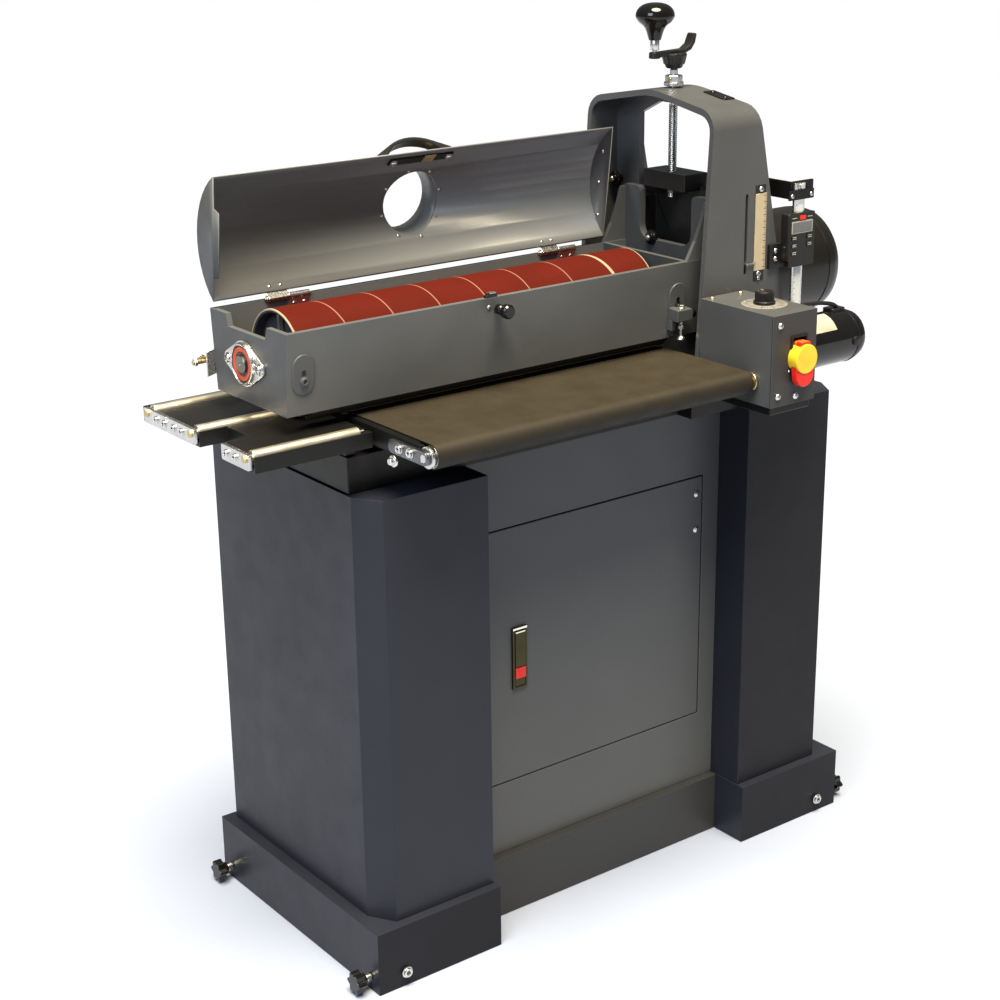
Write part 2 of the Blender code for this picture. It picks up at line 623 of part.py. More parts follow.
def feed_motor():
    start = BOX_RIGHT + GAP
    length = FEED_END - start
    profile = [(0.0, length), (0.026, length), (0.036, length - 0.006), (FEED_RADIUS, length - 0.020),
               (FEED_RADIUS, 0.012), (0.034, 0.010), (0.034, 0.0), (0.0, 0.0)]
    finish(turned("feed_motor", profile, (start, FEED_Y, FEED_Z), (1, 0, 0), 32), BLACK_PAINT)
    route = [(BOX_RIGHT + 0.0006, FEED_Y + 0.010, 0.9230), (BOX_RIGHT + 0.014, FEED_Y + 0.010, 0.9230),
             (BOX_RIGHT + 0.040, FEED_Y + 0.008, 0.9260), (BOX_RIGHT + 0.070, FEED_Y + 0.004, 0.9250),
             (BOX_RIGHT + 0.094, FEED_Y, 0.9210), (BOX_RIGHT + 0.106, FEED_Y, 0.9150)]
    return cable("feed_motor_cable", route, 0.0032)


def smooth_route(points, steps):
    """Points on a Catmull-Rom curve through a route's own points."""
    knots = [Vector(point) for point in points]
    knots = [2 * knots[0] - knots[1]] + knots + [2 * knots[-1] - knots[-2]]
    found = []
    for p0, p1, p2, p3 in zip(knots, knots[1:], knots[2:], knots[3:]):
        for step in range(steps):
            t = step / steps
            found.append(0.5 * (2 * p1 + (p2 - p0) * t + (2 * p0 - 5 * p1 + 4 * p2 - p3) * t ** 2
                                + (3 * p1 - p0 - 3 * p2 + p3) * t ** 3))
    return found + [knots[-2]]


def cable(name, route, radius):
    points = smooth_route(route, 3)
    curve = bpy.data.curves.new(name, "CURVE")
    curve.dimensions = "3D"
    curve.bevel_depth = radius
    curve.bevel_resolution = 2
    curve.use_fill_caps = True
    spline = curve.splines.new("POLY")
    spline.points.add(len(points) - 1)
    for target, point in zip(spline.points, points):
        target.co = (*point, 1.0)
    obj = bpy.data.objects.new(name, curve)
    PARTS.objects.link(obj)
    obj.parent = FRAME
    return finish(obj, PLASTIC)


# ---------------------------------------------------------------- column and height gear
def column():
    """A portal casting: a rim round a web, the web pierced by the window that the head runs in."""
    front, back = DRUM_Y - COLUMN_HALF, DRUM_Y + COLUMN_HALF
    foot = BASE_TOP + GAP

    def portal(inset, low):
        shoulder = COLUMN_SHOULDER - inset
        round_off = 0.034 - inset
        return rounded([(front + inset, low, 0), (back - inset, low, 0), (back - inset, shoulder, round_off),
                        (DRUM_Y, COLUMN_CROWN - inset, 0.15), (front + inset, shoulder, round_off)], 5)

    arch = slab("column", "YZ", 0.15, 0.45, portal(0.0, foot))
    side_view = [(0.1945, foot - 0.01), (BASE_RIGHT - 0.004, foot - 0.01), (0.3150, 1.197),
                 (0.3050, 1.26), (0.2220, 1.26)]
    meet(arch, slab("column_side_view", "XZ", front - 0.02, back + 0.02, side_view))
    near = slab("column_near_hollow", "YZ", 0.10, WEB_LEFT, portal(COLUMN_WALL, foot - 0.02))
    far = slab("column_far_hollow", "YZ", WEB_RIGHT, 0.50, portal(COLUMN_WALL, foot + 0.012))
    half = WINDOW_HALF
    window = [(DRUM_Y - half, 0.862), (DRUM_Y + half, 0.862), (DRUM_Y + half, 1.187),
              (DRUM_Y + 0.036, 1.209), (DRUM_Y - 0.036, 1.209), (DRUM_Y - half, 1.187)]
    opening = slab("column_window", "YZ", WEB_LEFT - 0.02, WEB_RIGHT + 0.02, window)
    boss = rod("column_screw_boss", (SCREW_X, DRUM_Y, 1.2125), (SCREW_X, DRUM_Y, 1.2320), 0.0160, sides=24)
    screw_hole = rod("column_screw_hole", (SCREW_X, DRUM_Y, 1.20), (SCREW_X, DRUM_Y, 1.26),
                     SCREW_RADIUS + 0.0006, sides=20)
    slot = slab("pointer_slot", "XZ", front - 0.02, front + 0.02,
                arc((0.2895, 1.083), 0.0028, 0, 180, 4) + arc((0.2895, 0.964), 0.0028, 180, 360, 4))
    cut(arch, near, far, opening)
    join(arch, boss)
    cut(arch, screw_hole, slot)
    return finish(arch, CASTING)


def height_gear():
    foot = (SCREW_X, DRUM_Y, 0.0)
    crown = COLUMN_CROWN + 0.0005
    screw = [(0.0, 1.287), (0.0045, 1.287), (0.0045, 1.262), (SCREW_RADIUS, 1.2615),
             (SCREW_RADIUS, 1.066), (0.0, 1.066)]
    finish(turned("lead_screw", screw, foot, (0, 0, 1), 20), PLATED)
    bore = SCREW_RADIUS + 0.0006
    collar = [(bore, 1.254), (0.0105, 1.254), (0.0105, 1.243), (0.0155, 1.2425), (0.0155, crown),
              (bore, crown)]
    finish(turned("screw_collar", collar, foot, (0, 0, 1), 24, ring=True), PLATED)
    end_x = SCREW_X - CRANK_THROW
    side_view = [(end_x - 0.009, 1.2780), (SCREW_X - 0.016, 1.2800), (SCREW_X - 0.013, 1.2625),
                 (SCREW_X + 0.013, 1.2625), (SCREW_X + 0.018, 1.2800), (SCREW_X + 0.034, 1.2900),
                 (SCREW_X + 0.039, 1.3120), (SCREW_X + 0.034, 1.3130), (SCREW_X + 0.026, 1.2970),
                 (SCREW_X + 0.012, 1.2890), (end_x - 0.009, 1.2890)]
    arm = slab("crank_arm", "XZ", DRUM_Y - 0.012, DRUM_Y + 0.012, side_view)
    bore_cut = rod("crank_bore", (SCREW_X, DRUM_Y, 1.25), (SCREW_X, DRUM_Y, 1.2875), 0.0050, sides=16)
    pin_cut = rod("crank_pin_bore", (end_x, DRUM_Y, 1.27), (end_x, DRUM_Y, 1.30), 0.0040, sides=12)
    cut(arm, bore_cut, pin_cut)
    finish(arm, BLACK_PAINT)
    knob = [(0.0, 1.3620), (0.0180, 1.3600), (0.0270, 1.3535), (0.0295, 1.3450), (0.0270, 1.3370),
            (0.0185, 1.3310), (0.0130, 1.3240), (0.0095, 1.3080), (0.0065, 1.3070), (0.0065, 1.2895),
            (0.0035, 1.2895), (0.0035, 1.2800), (0.0, 1.2800)]
    finish(turned("crank_knob", knob, (end_x, DRUM_Y, 0.0), (0, 0, 1), 24), PLASTIC)


COLUMN_FRONT = DRUM_Y - COLUMN_HALF
READOUT_X = 0.387


def readouts():
    """The digital scale: its head is fixed to the column and its beam travels with the drum head."""
    left, right, low, high = 0.358, 0.416, 0.975, 1.049
    back = COLUMN_FRONT - 0.0045
    head = soften(box("depth_readout", (left, back - 0.0175, low), (right, back, high)), 0.0015)
    lug = box("readout_lug", (0.336, back - 0.001, 0.965), (left + 0.02, COLUMN_FRONT - GAP, 1.003))
    channel = box("readout_channel", (READOUT_X - 0.0120, back - 0.0110, low - 0.01),
                  (READOUT_X + 0.0120, back - 0.0054, high + 0.01))
    join(head, lug)
    cut(head, channel)
    finish(head, PLASTIC)
    beam = box("readout_beam", (READOUT_X - 0.0112, back - 0.0105, 0.862), (READOUT_X + 0.0112, back - 0.0060, 1.094))
    finish(beam, PLATED)
    plan = [(MOUNT_RIGHT + GAP, -0.056), (0.372, -0.056), (0.372, back - 0.0056), (0.421, back - 0.0056),
            (0.421, back - 0.0008), (0.377, back - 0.0008), (0.377, -0.050), (MOUNT_RIGHT + GAP, -0.050)]
    arm = slab("readout_arm", "XY", 1.069, 1.096, plan)
    finish(arm, BLACK_PAINT)
    x, z = 0.2895, 0.979
    rod_in = rod("depth_pointer", (x, MOUNT_FRONT - GAP, z), (x, COLUMN_FRONT - 0.0045, z), 0.0018, sides=10)
    tip = rod("pointer_tip", (x - 0.0018, COLUMN_FRONT - 0.0035, z), (0.308, COLUMN_FRONT - 0.0035, z),
              0.0013, sides=8)
    finish(join(rod_in, tip), PLATED)
    plate = box("scale_plate", (0.307, COLUMN_FRONT - 0.0015, 0.966), (0.330, COLUMN_FRONT - GAP, 1.084))
    finish(plate, paint("scale_cream", (0.72, 0.62, 0.42), 0.5))


# ---------------------------------------------------------------- sanding head
MOUNT_LEFT, MOUNT_RIGHT = WEB_RIGHT + 0.0025, 0.302
MOUNT_FRONT, MOUNT_BACK = -0.059, 0.129
NUT_HALF = 0.048                  # clears the window's sloping corners with the head right up


def drum_housing():
    """The trough round the drum, with an end wall for the outboard bearing and a flange with ears."""
    outer = [(HEAD_FRONT_LOW, HEAD_BOTTOM), (HEAD_REAR_LOW, HEAD_BOTTOM), (HEAD_REAR_TOP, HEAD_TOP),
             (HEAD_FRONT_TOP, HEAD_TOP)]
    trough = slab("drum_housing", "YZ", HEAD_LEFT, HEAD_RIGHT + 0.004, outer)
    wall = HEAD_WALL
    low, high = HEAD_BOTTOM - 0.02, HEAD_TOP + 0.02
    inner = [(HEAD_FRONT_LOW + wall, low), (HEAD_REAR_LOW - wall, low), (HEAD_REAR_TOP - wall, high),
             (HEAD_FRONT_TOP + wall, high)]
    hollow = slab("trough_hollow", "YZ", HEAD_LEFT + wall, DRUM_RIGHT + 0.020, inner)
    pocket = slab("trough_pocket", "YZ", DRUM_RIGHT + 0.020 + wall, HEAD_RIGHT + 0.02, inner)
    notch = slab("end_notch", "YZ", HEAD_LEFT - 0.01, HEAD_LEFT + 0.02,
                 [(-0.020, 0.9715), (0.078, 0.9715), (0.086, HEAD_TOP + 0.01), (-0.028, HEAD_TOP + 0.01)])
    shaft_hole = rod("trough_shaft_hole", (HEAD_LEFT - 0.01, DRUM_Y, DRUM_Z),
                     (HEAD_RIGHT + 0.01, DRUM_Y, DRUM_Z), 0.0150, sides=24)
    plunger_hole = rod("plunger_hole", (PLUNGER_X, -0.10, PLUNGER_Z), (PLUNGER_X, -0.05, PLUNGER_Z),
                       0.0050, sides=12)
    cut(trough, hollow, pocket, notch, shaft_hole, plunger_hole)
    ear = 0.042
    flange_outline = rounded([
        (HEAD_FRONT_LOW - 0.001, HEAD_BOTTOM - 0.001, 0), (DRUM_Y - 0.045, HEAD_BOTTOM - 0.001, 0),
        (DRUM_Y - 0.045, DRUM_Z, 0.02), (DRUM_Y + 0.045, DRUM_Z, 0.02),
        (DRUM_Y + 0.045, HEAD_BOTTOM - 0.001, 0), (HEAD_REAR_LOW + 0.001, HEAD_BOTTOM - 0.001, 0),
        (HEAD_REAR_TOP + 0.001, EAR_TOP, 0.008), (HEAD_REAR_TOP - ear, EAR_TOP, 0.008),
        (HEAD_REAR_TOP - ear, 0.998, 0.02), (HEAD_FRONT_TOP + ear, 0.998, 0.02),
        (HEAD_FRONT_TOP + ear, EAR_TOP, 0.008), (HEAD_FRONT_TOP - 0.001, EAR_TOP, 0.008)], 3)
    flange = slab("head_flange", "YZ", HEAD_RIGHT, HEAD_RIGHT + FLANGE_THICK, flange_outline)
    join(trough, flange)
    cut(trough, rod("flange_shaft_hole", (HEAD_RIGHT - 0.02, DRUM_Y, DRUM_Z),
                    (HEAD_RIGHT + 0.05, DRUM_Y, DRUM_Z), 0.0225, sides=24))
    for name, y in (("front_gusset", HEAD_FRONT_TOP), ("rear_gusset", HEAD_REAR_TOP - wall)):
        sweep = [(HEAD_RIGHT + 0.004, HEAD_TOP - 0.006), (0.150, HEAD_TOP - 0.006), (0.150, HEAD_TOP - 0.002),
                 (0.201, HEAD_TOP - 0.001),
                 (0.208, 1.000), (0.218, 1.018), (0.230, 1.046), (0.239, 1.074), (HEAD_RIGHT + 0.004, 1.074)]
        join(trough, slab(name, "XZ", y + 0.0007, y + wall - 0.0007, sweep))
    return finish(trough, CASTING)


PLUNGER_X, PLUNGER_Z = -0.157, 0.971


def drum():
    """A tube on two pierced hubs, with stub shafts out through the bearing and into the motor."""
    left, right = DRUM_LEFT, DRUM_RIGHT
    left_end, right_end = HEAD_LEFT - 0.015, MOUNT_RIGHT + 0.004
    dish, hub, rim = 0.010, 0.012, DRUM_RADIUS - 0.006
    foot = (0.0, DRUM_Y, DRUM_Z)
    profile = [(0.0, right_end), (SHAFT_RADIUS, right_end), (SHAFT_RADIUS, right - dish), (rim, right - dish),
               (rim, right), (DRUM_RADIUS, right), (DRUM_RADIUS, left), (rim, left), (rim, left + dish),
               (SHAFT_RADIUS, left + dish), (SHAFT_RADIUS, left_end), (0.0, left_end)]
    roll = turned("drum", profile, foot, (1, 0, 0), 40)
    low, high = left + dish + hub, right - dish - hub
    inside = turned("drum_inside", [(SHAFT_RADIUS, high), (rim, high), (rim, low), (SHAFT_RADIUS, low)],
                    foot, (1, 0, 0), 40, ring=True)
    cut(roll, inside)
    for index in range(4):
        angle = math.radians(45 + 90 * index)
        y, z = DRUM_Y + 0.038 * math.cos(angle), DRUM_Z + 0.038 * math.sin(angle)
        cut(roll, rod(f"hub_hole_{index}", (left - 0.01, y, z), (right + 0.01, y, z), 0.011, sides=12))
    finish(roll, paint("drum_abrasive", GRIT_RED, 0.8))


def outboard_bearing():
    """A two-bolt flange with the drum's outboard bearing in it."""
    reach, body = 0.042, 0.031
    outline = (arc((DRUM_Y + reach, DRUM_Z), 0.010, -60, 60, 4) + arc((DRUM_Y, DRUM_Z), body, 60, 120, 5)
               + arc((DRUM_Y - reach, DRUM_Z), 0.010, 120, 240, 4) + arc((DRUM_Y, DRUM_Z), body, 240, 300, 5))
    bearing = slab("drum_bearing", "YZ", HEAD_LEFT - 0.010, HEAD_LEFT - GAP, outline,
                   circle((DRUM_Y, DRUM_Z), SHAFT_RADIUS + 0.0005, 24)[::-1])
    return finish(bearing, PLATED)


def motor_mount():
    """The casting behind the web that carries the motor and holds the lift nut on the screw."""
    outline = rounded([(MOUNT_FRONT, 0.848, 0.015), (MOUNT_BACK, 0.848, 0.015), (MOUNT_BACK, 1.085, 0.02),
                       (MOUNT_FRONT, 1.085, 0.02)], 3)
    plate = slab("motor_mount", "YZ", MOUNT_LEFT, MOUNT_RIGHT, outline)
    nut_block = box("lift_nut_block", (SCREW_X - 0.018, DRUM_Y - NUT_HALF, EAR_TOP + 0.0015),
                    (MOUNT_RIGHT - 0.003, DRUM_Y + NUT_HALF, 1.106))
    join(plate, nut_block)
    inner_face = HEAD_RIGHT + FLANGE_THICK + GAP
    for name, low, high in (("front_slide", -0.0445, -0.022), ("rear_slide", 0.090, 0.1145)):
        join(plate, box(name, (inner_face, low, 0.895), (MOUNT_LEFT + 0.003, high, 1.060)))
    screw_hole = rod("nut_bore", (SCREW_X, DRUM_Y, 1.03), (SCREW_X, DRUM_Y, 1.13), SCREW_RADIUS + 0.0006,
                     sides=20)
    shaft_hole = rod("mount_shaft_hole", (MOUNT_LEFT - 0.03, DRUM_Y, DRUM_Z),
                     (MOUNT_RIGHT + 0.03, DRUM_Y, DRUM_Z), 0.030, sides=24)
    cut(plate, screw_hole, shaft_hole)
    return finish(plate, BLACK_PAINT)


def drum_motor():
    start, end, radius = MOUNT_RIGHT + GAP, 0.579, 0.089
    length = end - start
    profile = [(0.0, length), (0.060, length), (0.078, length - 0.012), (radius, length - 0.035),
               (radius, 0.025), (0.070, 0.020), (0.070, 0.0), (0.016, 0.0), (0.016, 0.012), (0.062, 0.014),
               (0.062, length - 0.050), (0.0, length - 0.040)]
    return finish(turned("drum_motor", profile, (start, DRUM_Y, DRUM_Z), (1, 0, 0), 40), BLACK_PAINT)


def pressure_rollers():
    left, right = -0.470, DRUM_RIGHT + 0.012
    length = right - left
    neck = 0.0045
    profile = [(0.0, length), (neck, length), (neck, length - 0.012), (PRESS_RADIUS, length - 0.012),
               (PRESS_RADIUS, 0.012), (neck, 0.012), (neck, 0.0), (0.0, 0.0)]
    rubber = paint("roller_rubber", (0.03, 0.03, 0.03), 0.6)
    for name, y in PRESS_Y.items():
        finish(turned(name + "_pressure_roller", profile, (left, y, PRESS_Z), (1, 0, 0), 20), rubber)


def plunger():
    wall = -0.0745
    profile = [(0.0, 0.029), (0.008, 0.029), (0.0105, 0.026), (0.0105, 0.019), (0.0085, 0.016),
               (0.0055, 0.012), (0.0075, 0.010), (0.0075, 0.0012), (0.0042, 0.0012), (0.0042, -0.014),
               (0.0, -0.014)]
    return finish(turned("pull_knob", profile, (PLUNGER_X, wall, PLUNGER_Z), (0, -1, 0), 20), PLASTIC)


# ---------------------------------------------------------------- hood
def hood_point(u, w):
    """A point of the open hood: u is its distance up the chord from the hinge, w its bulge."""
    return (HINGE_Y - u * math.sin(HOOD_LEAN) + w * math.cos(HOOD_LEAN),
            HINGE_Z + u * math.cos(HOOD_LEAN) + w * math.sin(HOOD_LEAN))


HALF_CHORD = (HOOD_CHORD - HOOD_START) / 2
HOOD_RADIUS = (HALF_CHORD ** 2 + HOOD_BULGE ** 2) / (2 * HOOD_BULGE)
HOOD_MIDDLE = HOOD_START + HALF_CHORD


def hood_arc(radius, steps=14, overshoot=0.0):
    """The hood's curve from its top edge down to its hinge edge."""
    depth = HOOD_RADIUS - HOOD_BULGE
    half = math.degrees(math.acos(min(1.0, (depth - overshoot) / radius)))
    return [hood_point(HOOD_MIDDLE + v, w - depth) for w, v in arc((0, 0), radius, half, -half, steps)]


def hood():
    shell = slab("hood", "YZ", HOOD_LEFT, HOOD_RIGHT, hood_arc(HOOD_RADIUS)[::-1])
    inner = hood_arc(HOOD_RADIUS - HOOD_SHEET, 14, 0.0)
    beyond = -0.02
    mouth = [hood_point(HOOD_CHORD - 0.002, beyond), hood_point(HOOD_START + 0.002, beyond)]
    hollow = slab("hood_hollow", "YZ", HOOD_LEFT + HOOD_SHEET, HOOD_RIGHT - HOOD_SHEET,
                  (inner + mouth[::-1])[::-1])
    cut(shell, hollow)
    tab = [hood_point(0.040, 0.003), hood_point(0.141, 0.003), hood_point(0.136, -0.014),
           hood_point(0.045, -0.014)]
    join(shell, slab("hood_tab", "YZ", HOOD_LEFT + 0.0004, HOOD_LEFT + HOOD_SHEET - 0.0002, tab))
    cut(shell, port_core("hood_port_hole", PORT_RADIUS - 0.002, -0.01, 0.08))
    return finish(pivot(shell, (HOOD_LEFT, HINGE_Y, HINGE_Z)), CASTING)


def port_core(name, radius, low, high, sides=32):
    ends = [(PORT_X, *hood_point(HOOD_MIDDLE, w)) for w in (low, high)]
    return rod(name, ends[0], ends[1], radius, sides=sides)


def hood_port():
    """The dust outlet's collar, scribed to the outside of the hood."""
    collar = port_core("hood_port", PORT_RADIUS, 0.020, HOOD_BULGE + 0.036)
    bore = port_core("port_bore", PORT_RADIUS - 0.002, 0.0, HOOD_BULGE + 0.08)
    scribe = slab("port_scribe", "YZ", PORT_X - 0.09, PORT_X + 0.09, hood_arc(HOOD_RADIUS + GAP)[::-1])
    cut(collar, bore, scribe)
    return finish(pivot(collar, (PORT_X, HINGE_Y, HINGE_Z)), CASTING)


def hood_handle():
    """A strap handle across the hood just behind its front edge."""
    left, right = -0.229, -0.099
    u = HOOD_CHORD - 0.014
    angle = math.acos((u - HOOD_MIDDLE) / HOOD_RADIUS)
    surface = HOOD_RADIUS * math.sin(angle) - (HOOD_RADIUS - HOOD_BULGE)
    outward = Vector((0.0, *hood_point(math.cos(angle), math.sin(angle)))) - Vector((0.0, HINGE_Y, HINGE_Z))
    outward.normalize()
    foot = Vector((0.0, *hood_point(u, surface)))
    middle = (left + right) / 2
    rise = 0.029
    outer = [(right, 0.0), (right, 0.006)] + arc((middle, rise - 0.08), 0.08, 62, 118, 8) + [(left, 0.006), (left, 0.0)]
    inner = [(left + 0.014, 0.0)] + arc((middle, rise - 0.006 - 0.08), 0.08, 114, 66, 8) + [(right - 0.014, 0.0)]
    grip = slab("hood_handle", "XZ", -0.009, 0.009, (outer + inner))
    grip.data.transform(along_outward(outward, foot))
    return finish(pivot(grip, (middle, HINGE_Y, HINGE_Z)), PLASTIC)


def along_outward(outward, foot):
    """Stands a piece drawn above the XY plane on a sloping face, keeping X level."""
    across = outward.cross(Vector((1.0, 0.0, 0.0)))
    turn = Matrix((Vector((1.0, 0.0, 0.0)), across, outward)).transposed().to_4x4()
    return Matrix.Translation(foot + outward * 0.0006) @ turn


# ---------------------------------------------------------------- assembly
for side_name in SIDES:
    pedestal(side_name)
    plinth(side_name)
    for end_name in ENDS:
        wheel(end_name, side_name)
        brake_knob(end_name, side_name)
centre_plinth()
bay_panels()
door()
latch()
machine_base()
side_table()
idlers()
conveyor_bed()
conveyor()
control_box()
controls()
feed_motor()
column()
height_gear()
drum_housing()
drum()
outboard_bearing()
motor_mount()
drum_motor()
pressure_rollers()
plunger()
readouts()
hood()
hood_port()
hood_handle()
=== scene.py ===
"""Looks of the open-end drum sander: finishes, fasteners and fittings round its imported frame."""

import math

import bmesh
import bpy
from mathutils import Matrix, Vector


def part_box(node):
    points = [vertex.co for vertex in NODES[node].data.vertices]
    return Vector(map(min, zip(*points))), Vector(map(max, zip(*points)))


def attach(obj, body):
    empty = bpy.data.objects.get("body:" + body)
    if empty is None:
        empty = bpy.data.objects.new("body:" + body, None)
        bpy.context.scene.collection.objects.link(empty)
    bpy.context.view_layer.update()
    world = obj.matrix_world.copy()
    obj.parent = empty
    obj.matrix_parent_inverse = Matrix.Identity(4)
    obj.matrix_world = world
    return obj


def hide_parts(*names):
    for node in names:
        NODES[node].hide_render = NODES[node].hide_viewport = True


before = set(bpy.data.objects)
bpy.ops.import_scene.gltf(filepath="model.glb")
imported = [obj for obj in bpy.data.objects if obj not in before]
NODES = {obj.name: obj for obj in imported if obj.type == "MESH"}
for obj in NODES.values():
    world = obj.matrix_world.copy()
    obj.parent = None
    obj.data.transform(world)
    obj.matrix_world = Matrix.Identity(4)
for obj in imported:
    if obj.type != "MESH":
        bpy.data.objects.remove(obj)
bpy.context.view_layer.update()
X, Y, Z = Vector((1, 0, 0)), Vector((0, 1, 0)), Vector((0, 0, 1))


# ------------------------------------------------------------------ node materials
class Shader:
    """Builds one procedural material over a Principled BSDF."""

    def __init__(self, name, roughness=0.4, metallic=0.0, coat=0.0, coat_roughness=0.1, specular=0.5):
        self.material = bpy.data.materials.new(name)
        self.material.use_nodes = True
        self.tree = self.material.node_tree
        self.out = self.tree.nodes["Principled BSDF"]
        self.set("Roughness", roughness)
        self.set("Metallic", metallic)
        self.set("Coat Weight", coat)
        self.set("Coat Roughness", coat_roughness)
        self.set("Specular IOR Level", specular)
        self.where = self.node("ShaderNodeTexCoord").outputs["Object"]
        self.height = None

    def set(self, socket, value):
        self.out.inputs[socket].default_value = value

    def node(self, kind, **values):
        made = self.tree.nodes.new(kind)
        for key, value in values.items():
            setattr(made, key, value)
        return made

    def link(self, source, target):
        self.tree.links.new(source, target)

    def scaled(self, scale):
        """Object coordinates stretched by a factor for each axis."""
        mapping = self.node("ShaderNodeMapping")
        mapping.inputs["Scale"].default_value = scale
        self.link(self.where, mapping.inputs["Vector"])
        return mapping.outputs["Vector"]

    def noise(self, scale, detail=4.0, roughness=0.55, where=None):
        made = self.node("ShaderNodeTexNoise")
        made.inputs["Scale"].default_value = scale
        made.inputs["Detail"].default_value = detail
        made.inputs["Roughness"].default_value = roughness
        self.link(where or self.where, made.inputs["Vector"])
        return made.outputs["Fac"]

    def cells(self, scale, feature="F1", where=None):
        made = self.node("ShaderNodeTexVoronoi", feature=feature)
        made.inputs["Scale"].default_value = scale
        self.link(where or self.where, made.inputs["Vector"])
        return made.outputs["Distance"]

    def ramp(self, source, *stops):
        """stops are (position, value or colour)."""
        made = self.node("ShaderNodeValToRGB")
        points = made.color_ramp.elements
        while len(points) < len(stops):
            points.new(0.5)
        for point, (position, value) in zip(points, stops):
            point.position = position
            point.color = (*value, 1.0) if isinstance(value, tuple) else (value, value, value, 1.0)
        self.link(source, made.inputs["Fac"])
        return made.outputs["Color"]

    def math(self, operation, first, second=None, clamp=False):
        made = self.node("ShaderNodeMath", operation=operation, use_clamp=clamp)
        for socket, value in zip(made.inputs, (first, second)):
            if value is None:
                continue
            if isinstance(value, (int, float)):
                socket.default_value = value
            else:
                self.link(value, socket)
        return made.outputs["Value"]

    def mix(self, factor, first, second):
        made = self.node("ShaderNodeMix", data_type="RGBA")
        self.link(factor, made.inputs["Factor"])
        for socket, value in ((made.inputs["A"], first), (made.inputs["B"], second)):
            if isinstance(value, tuple):
                socket.default_value = (*value, 1.0)
            else:
                self.link(value, socket)
        return made.outputs["Result"]

    def axes(self):
        made = self.node("ShaderNodeSeparateXYZ")
        self.link(self.where, made.inputs["Vector"])
        return made.outputs

    def colour(self, source):
        self.link(source, self.out.inputs["Base Color"])
        return self

    def rough(self, source):
        self.link(source, self.out.inputs["Roughness"])
        return self

    def bump(self, source, distance, strength=1.0):
        made = self.node("ShaderNodeBump")
        made.inputs["Distance"].default_value = distance
        made.inputs["Strength"].default_value = strength
        self.link(source, made.inputs["Height"])
        if self.height is not None:
            self.link(self.height, made.inputs["Normal"])
        self.height = made.outputs["Normal"]
        self.link(self.height, self.out.inputs["Normal"])
        return self


def shade(colour, factor):
    return tuple(min(1.0, channel * factor) for channel in colour)


def painted(name, colour, rough, grain, depth, variation=0.1, coat=0.25, specular=0.25):
    """Sprayed paint: a faint mottle, a few dust specks and an orange-peel surface."""
    s = Shader(name, rough, 0.0, coat, 0.22, specular)
    mottle = s.noise(5.0, 5.0)
    base = s.ramp(mottle, (0.3, shade(colour, 1 - variation)), (0.72, shade(colour, 1 + variation)))
    specks = s.ramp(s.cells(150.0), (0.035, 1.0), (0.06, 0.0))
    thin = s.ramp(s.noise(14.0, 2.0), (0.6, 0.0), (0.72, 0.5))
    dust = s.math("MULTIPLY", specks, thin)
    s.colour(s.mix(dust, base, shade(colour, 2.2)))
    s.rough(s.ramp(s.noise(22.0, 3.0), (0.3, rough - 0.05), (0.75, rough + 0.07)))
    s.bump(s.noise(grain, 2.0), depth, 0.5)
    return s.material


def cast_paint(name, colour, rough):
    """Paint over sand-cast iron: broad ripples under a fine pitted grain."""
    s = Shader(name, rough, 0.0, 0.12, 0.25, 0.35)
    base = s.ramp(s.noise(7.0, 5.0), (0.3, shade(colour, 0.9)), (0.7, shade(colour, 1.1)))
    scuff = s.ramp(s.noise(60.0, 6.0, 0.7), (0.63, 0.0), (0.72, 0.35))
    s.colour(s.mix(scuff, base, shade(colour, 1.35)))
    s.rough(s.ramp(s.noise(30.0, 4.0), (0.3, rough - 0.05), (0.75, rough + 0.08)))
    s.bump(s.noise(38.0, 3.0), 0.001, 0.35)
    s.bump(s.noise(420.0, 2.0), 0.00025, 0.45)
    return s.material


def bare_metal(name, colour, rough, brushed=(1.0, 1.0, 1.0), scale=400.0):
    """Plated or ground metal: fine scratches along the grain and a little tarnish."""
    s = Shader(name, rough, 1.0)
    grain = s.noise(scale, 3.0, 0.6, s.scaled(brushed))
    tarnish = s.noise(35.0, 4.0)
    base = s.ramp(tarnish, (0.3, shade(colour, 0.8)), (0.7, shade(colour, 1.08)))
    s.colour(s.mix(s.ramp(grain, (0.35, 0.0), (0.65, 0.35)), base, shade(colour, 1.15)))
    s.rough(s.ramp(grain, (0.3, rough - 0.06), (0.7, rough + 0.1)))
    s.bump(grain, 0.00008, 0.35)
    return s.material


def moulded(name, colour, rough, grain=700.0, depth=0.00006, coat=0.0):
    """Moulded plastic or rubber: a fine even texture with slightly rubbed high spots."""
    s = Shader(name, rough, 0.0, coat, 0.08, 0.3)
    rub = s.noise(40.0, 4.0)
    s.colour(s.ramp(rub, (0.35, shade(colour, 0.88)), (0.72, shade(colour, 1.2))))
    s.rough(s.ramp(s.noise(90.0, 3.0), (0.3, max(0.03, rough - 0.04)), (0.75, rough + 0.08)))
    s.bump(s.noise(grain, 2.0), depth, 0.5)
    return s.material


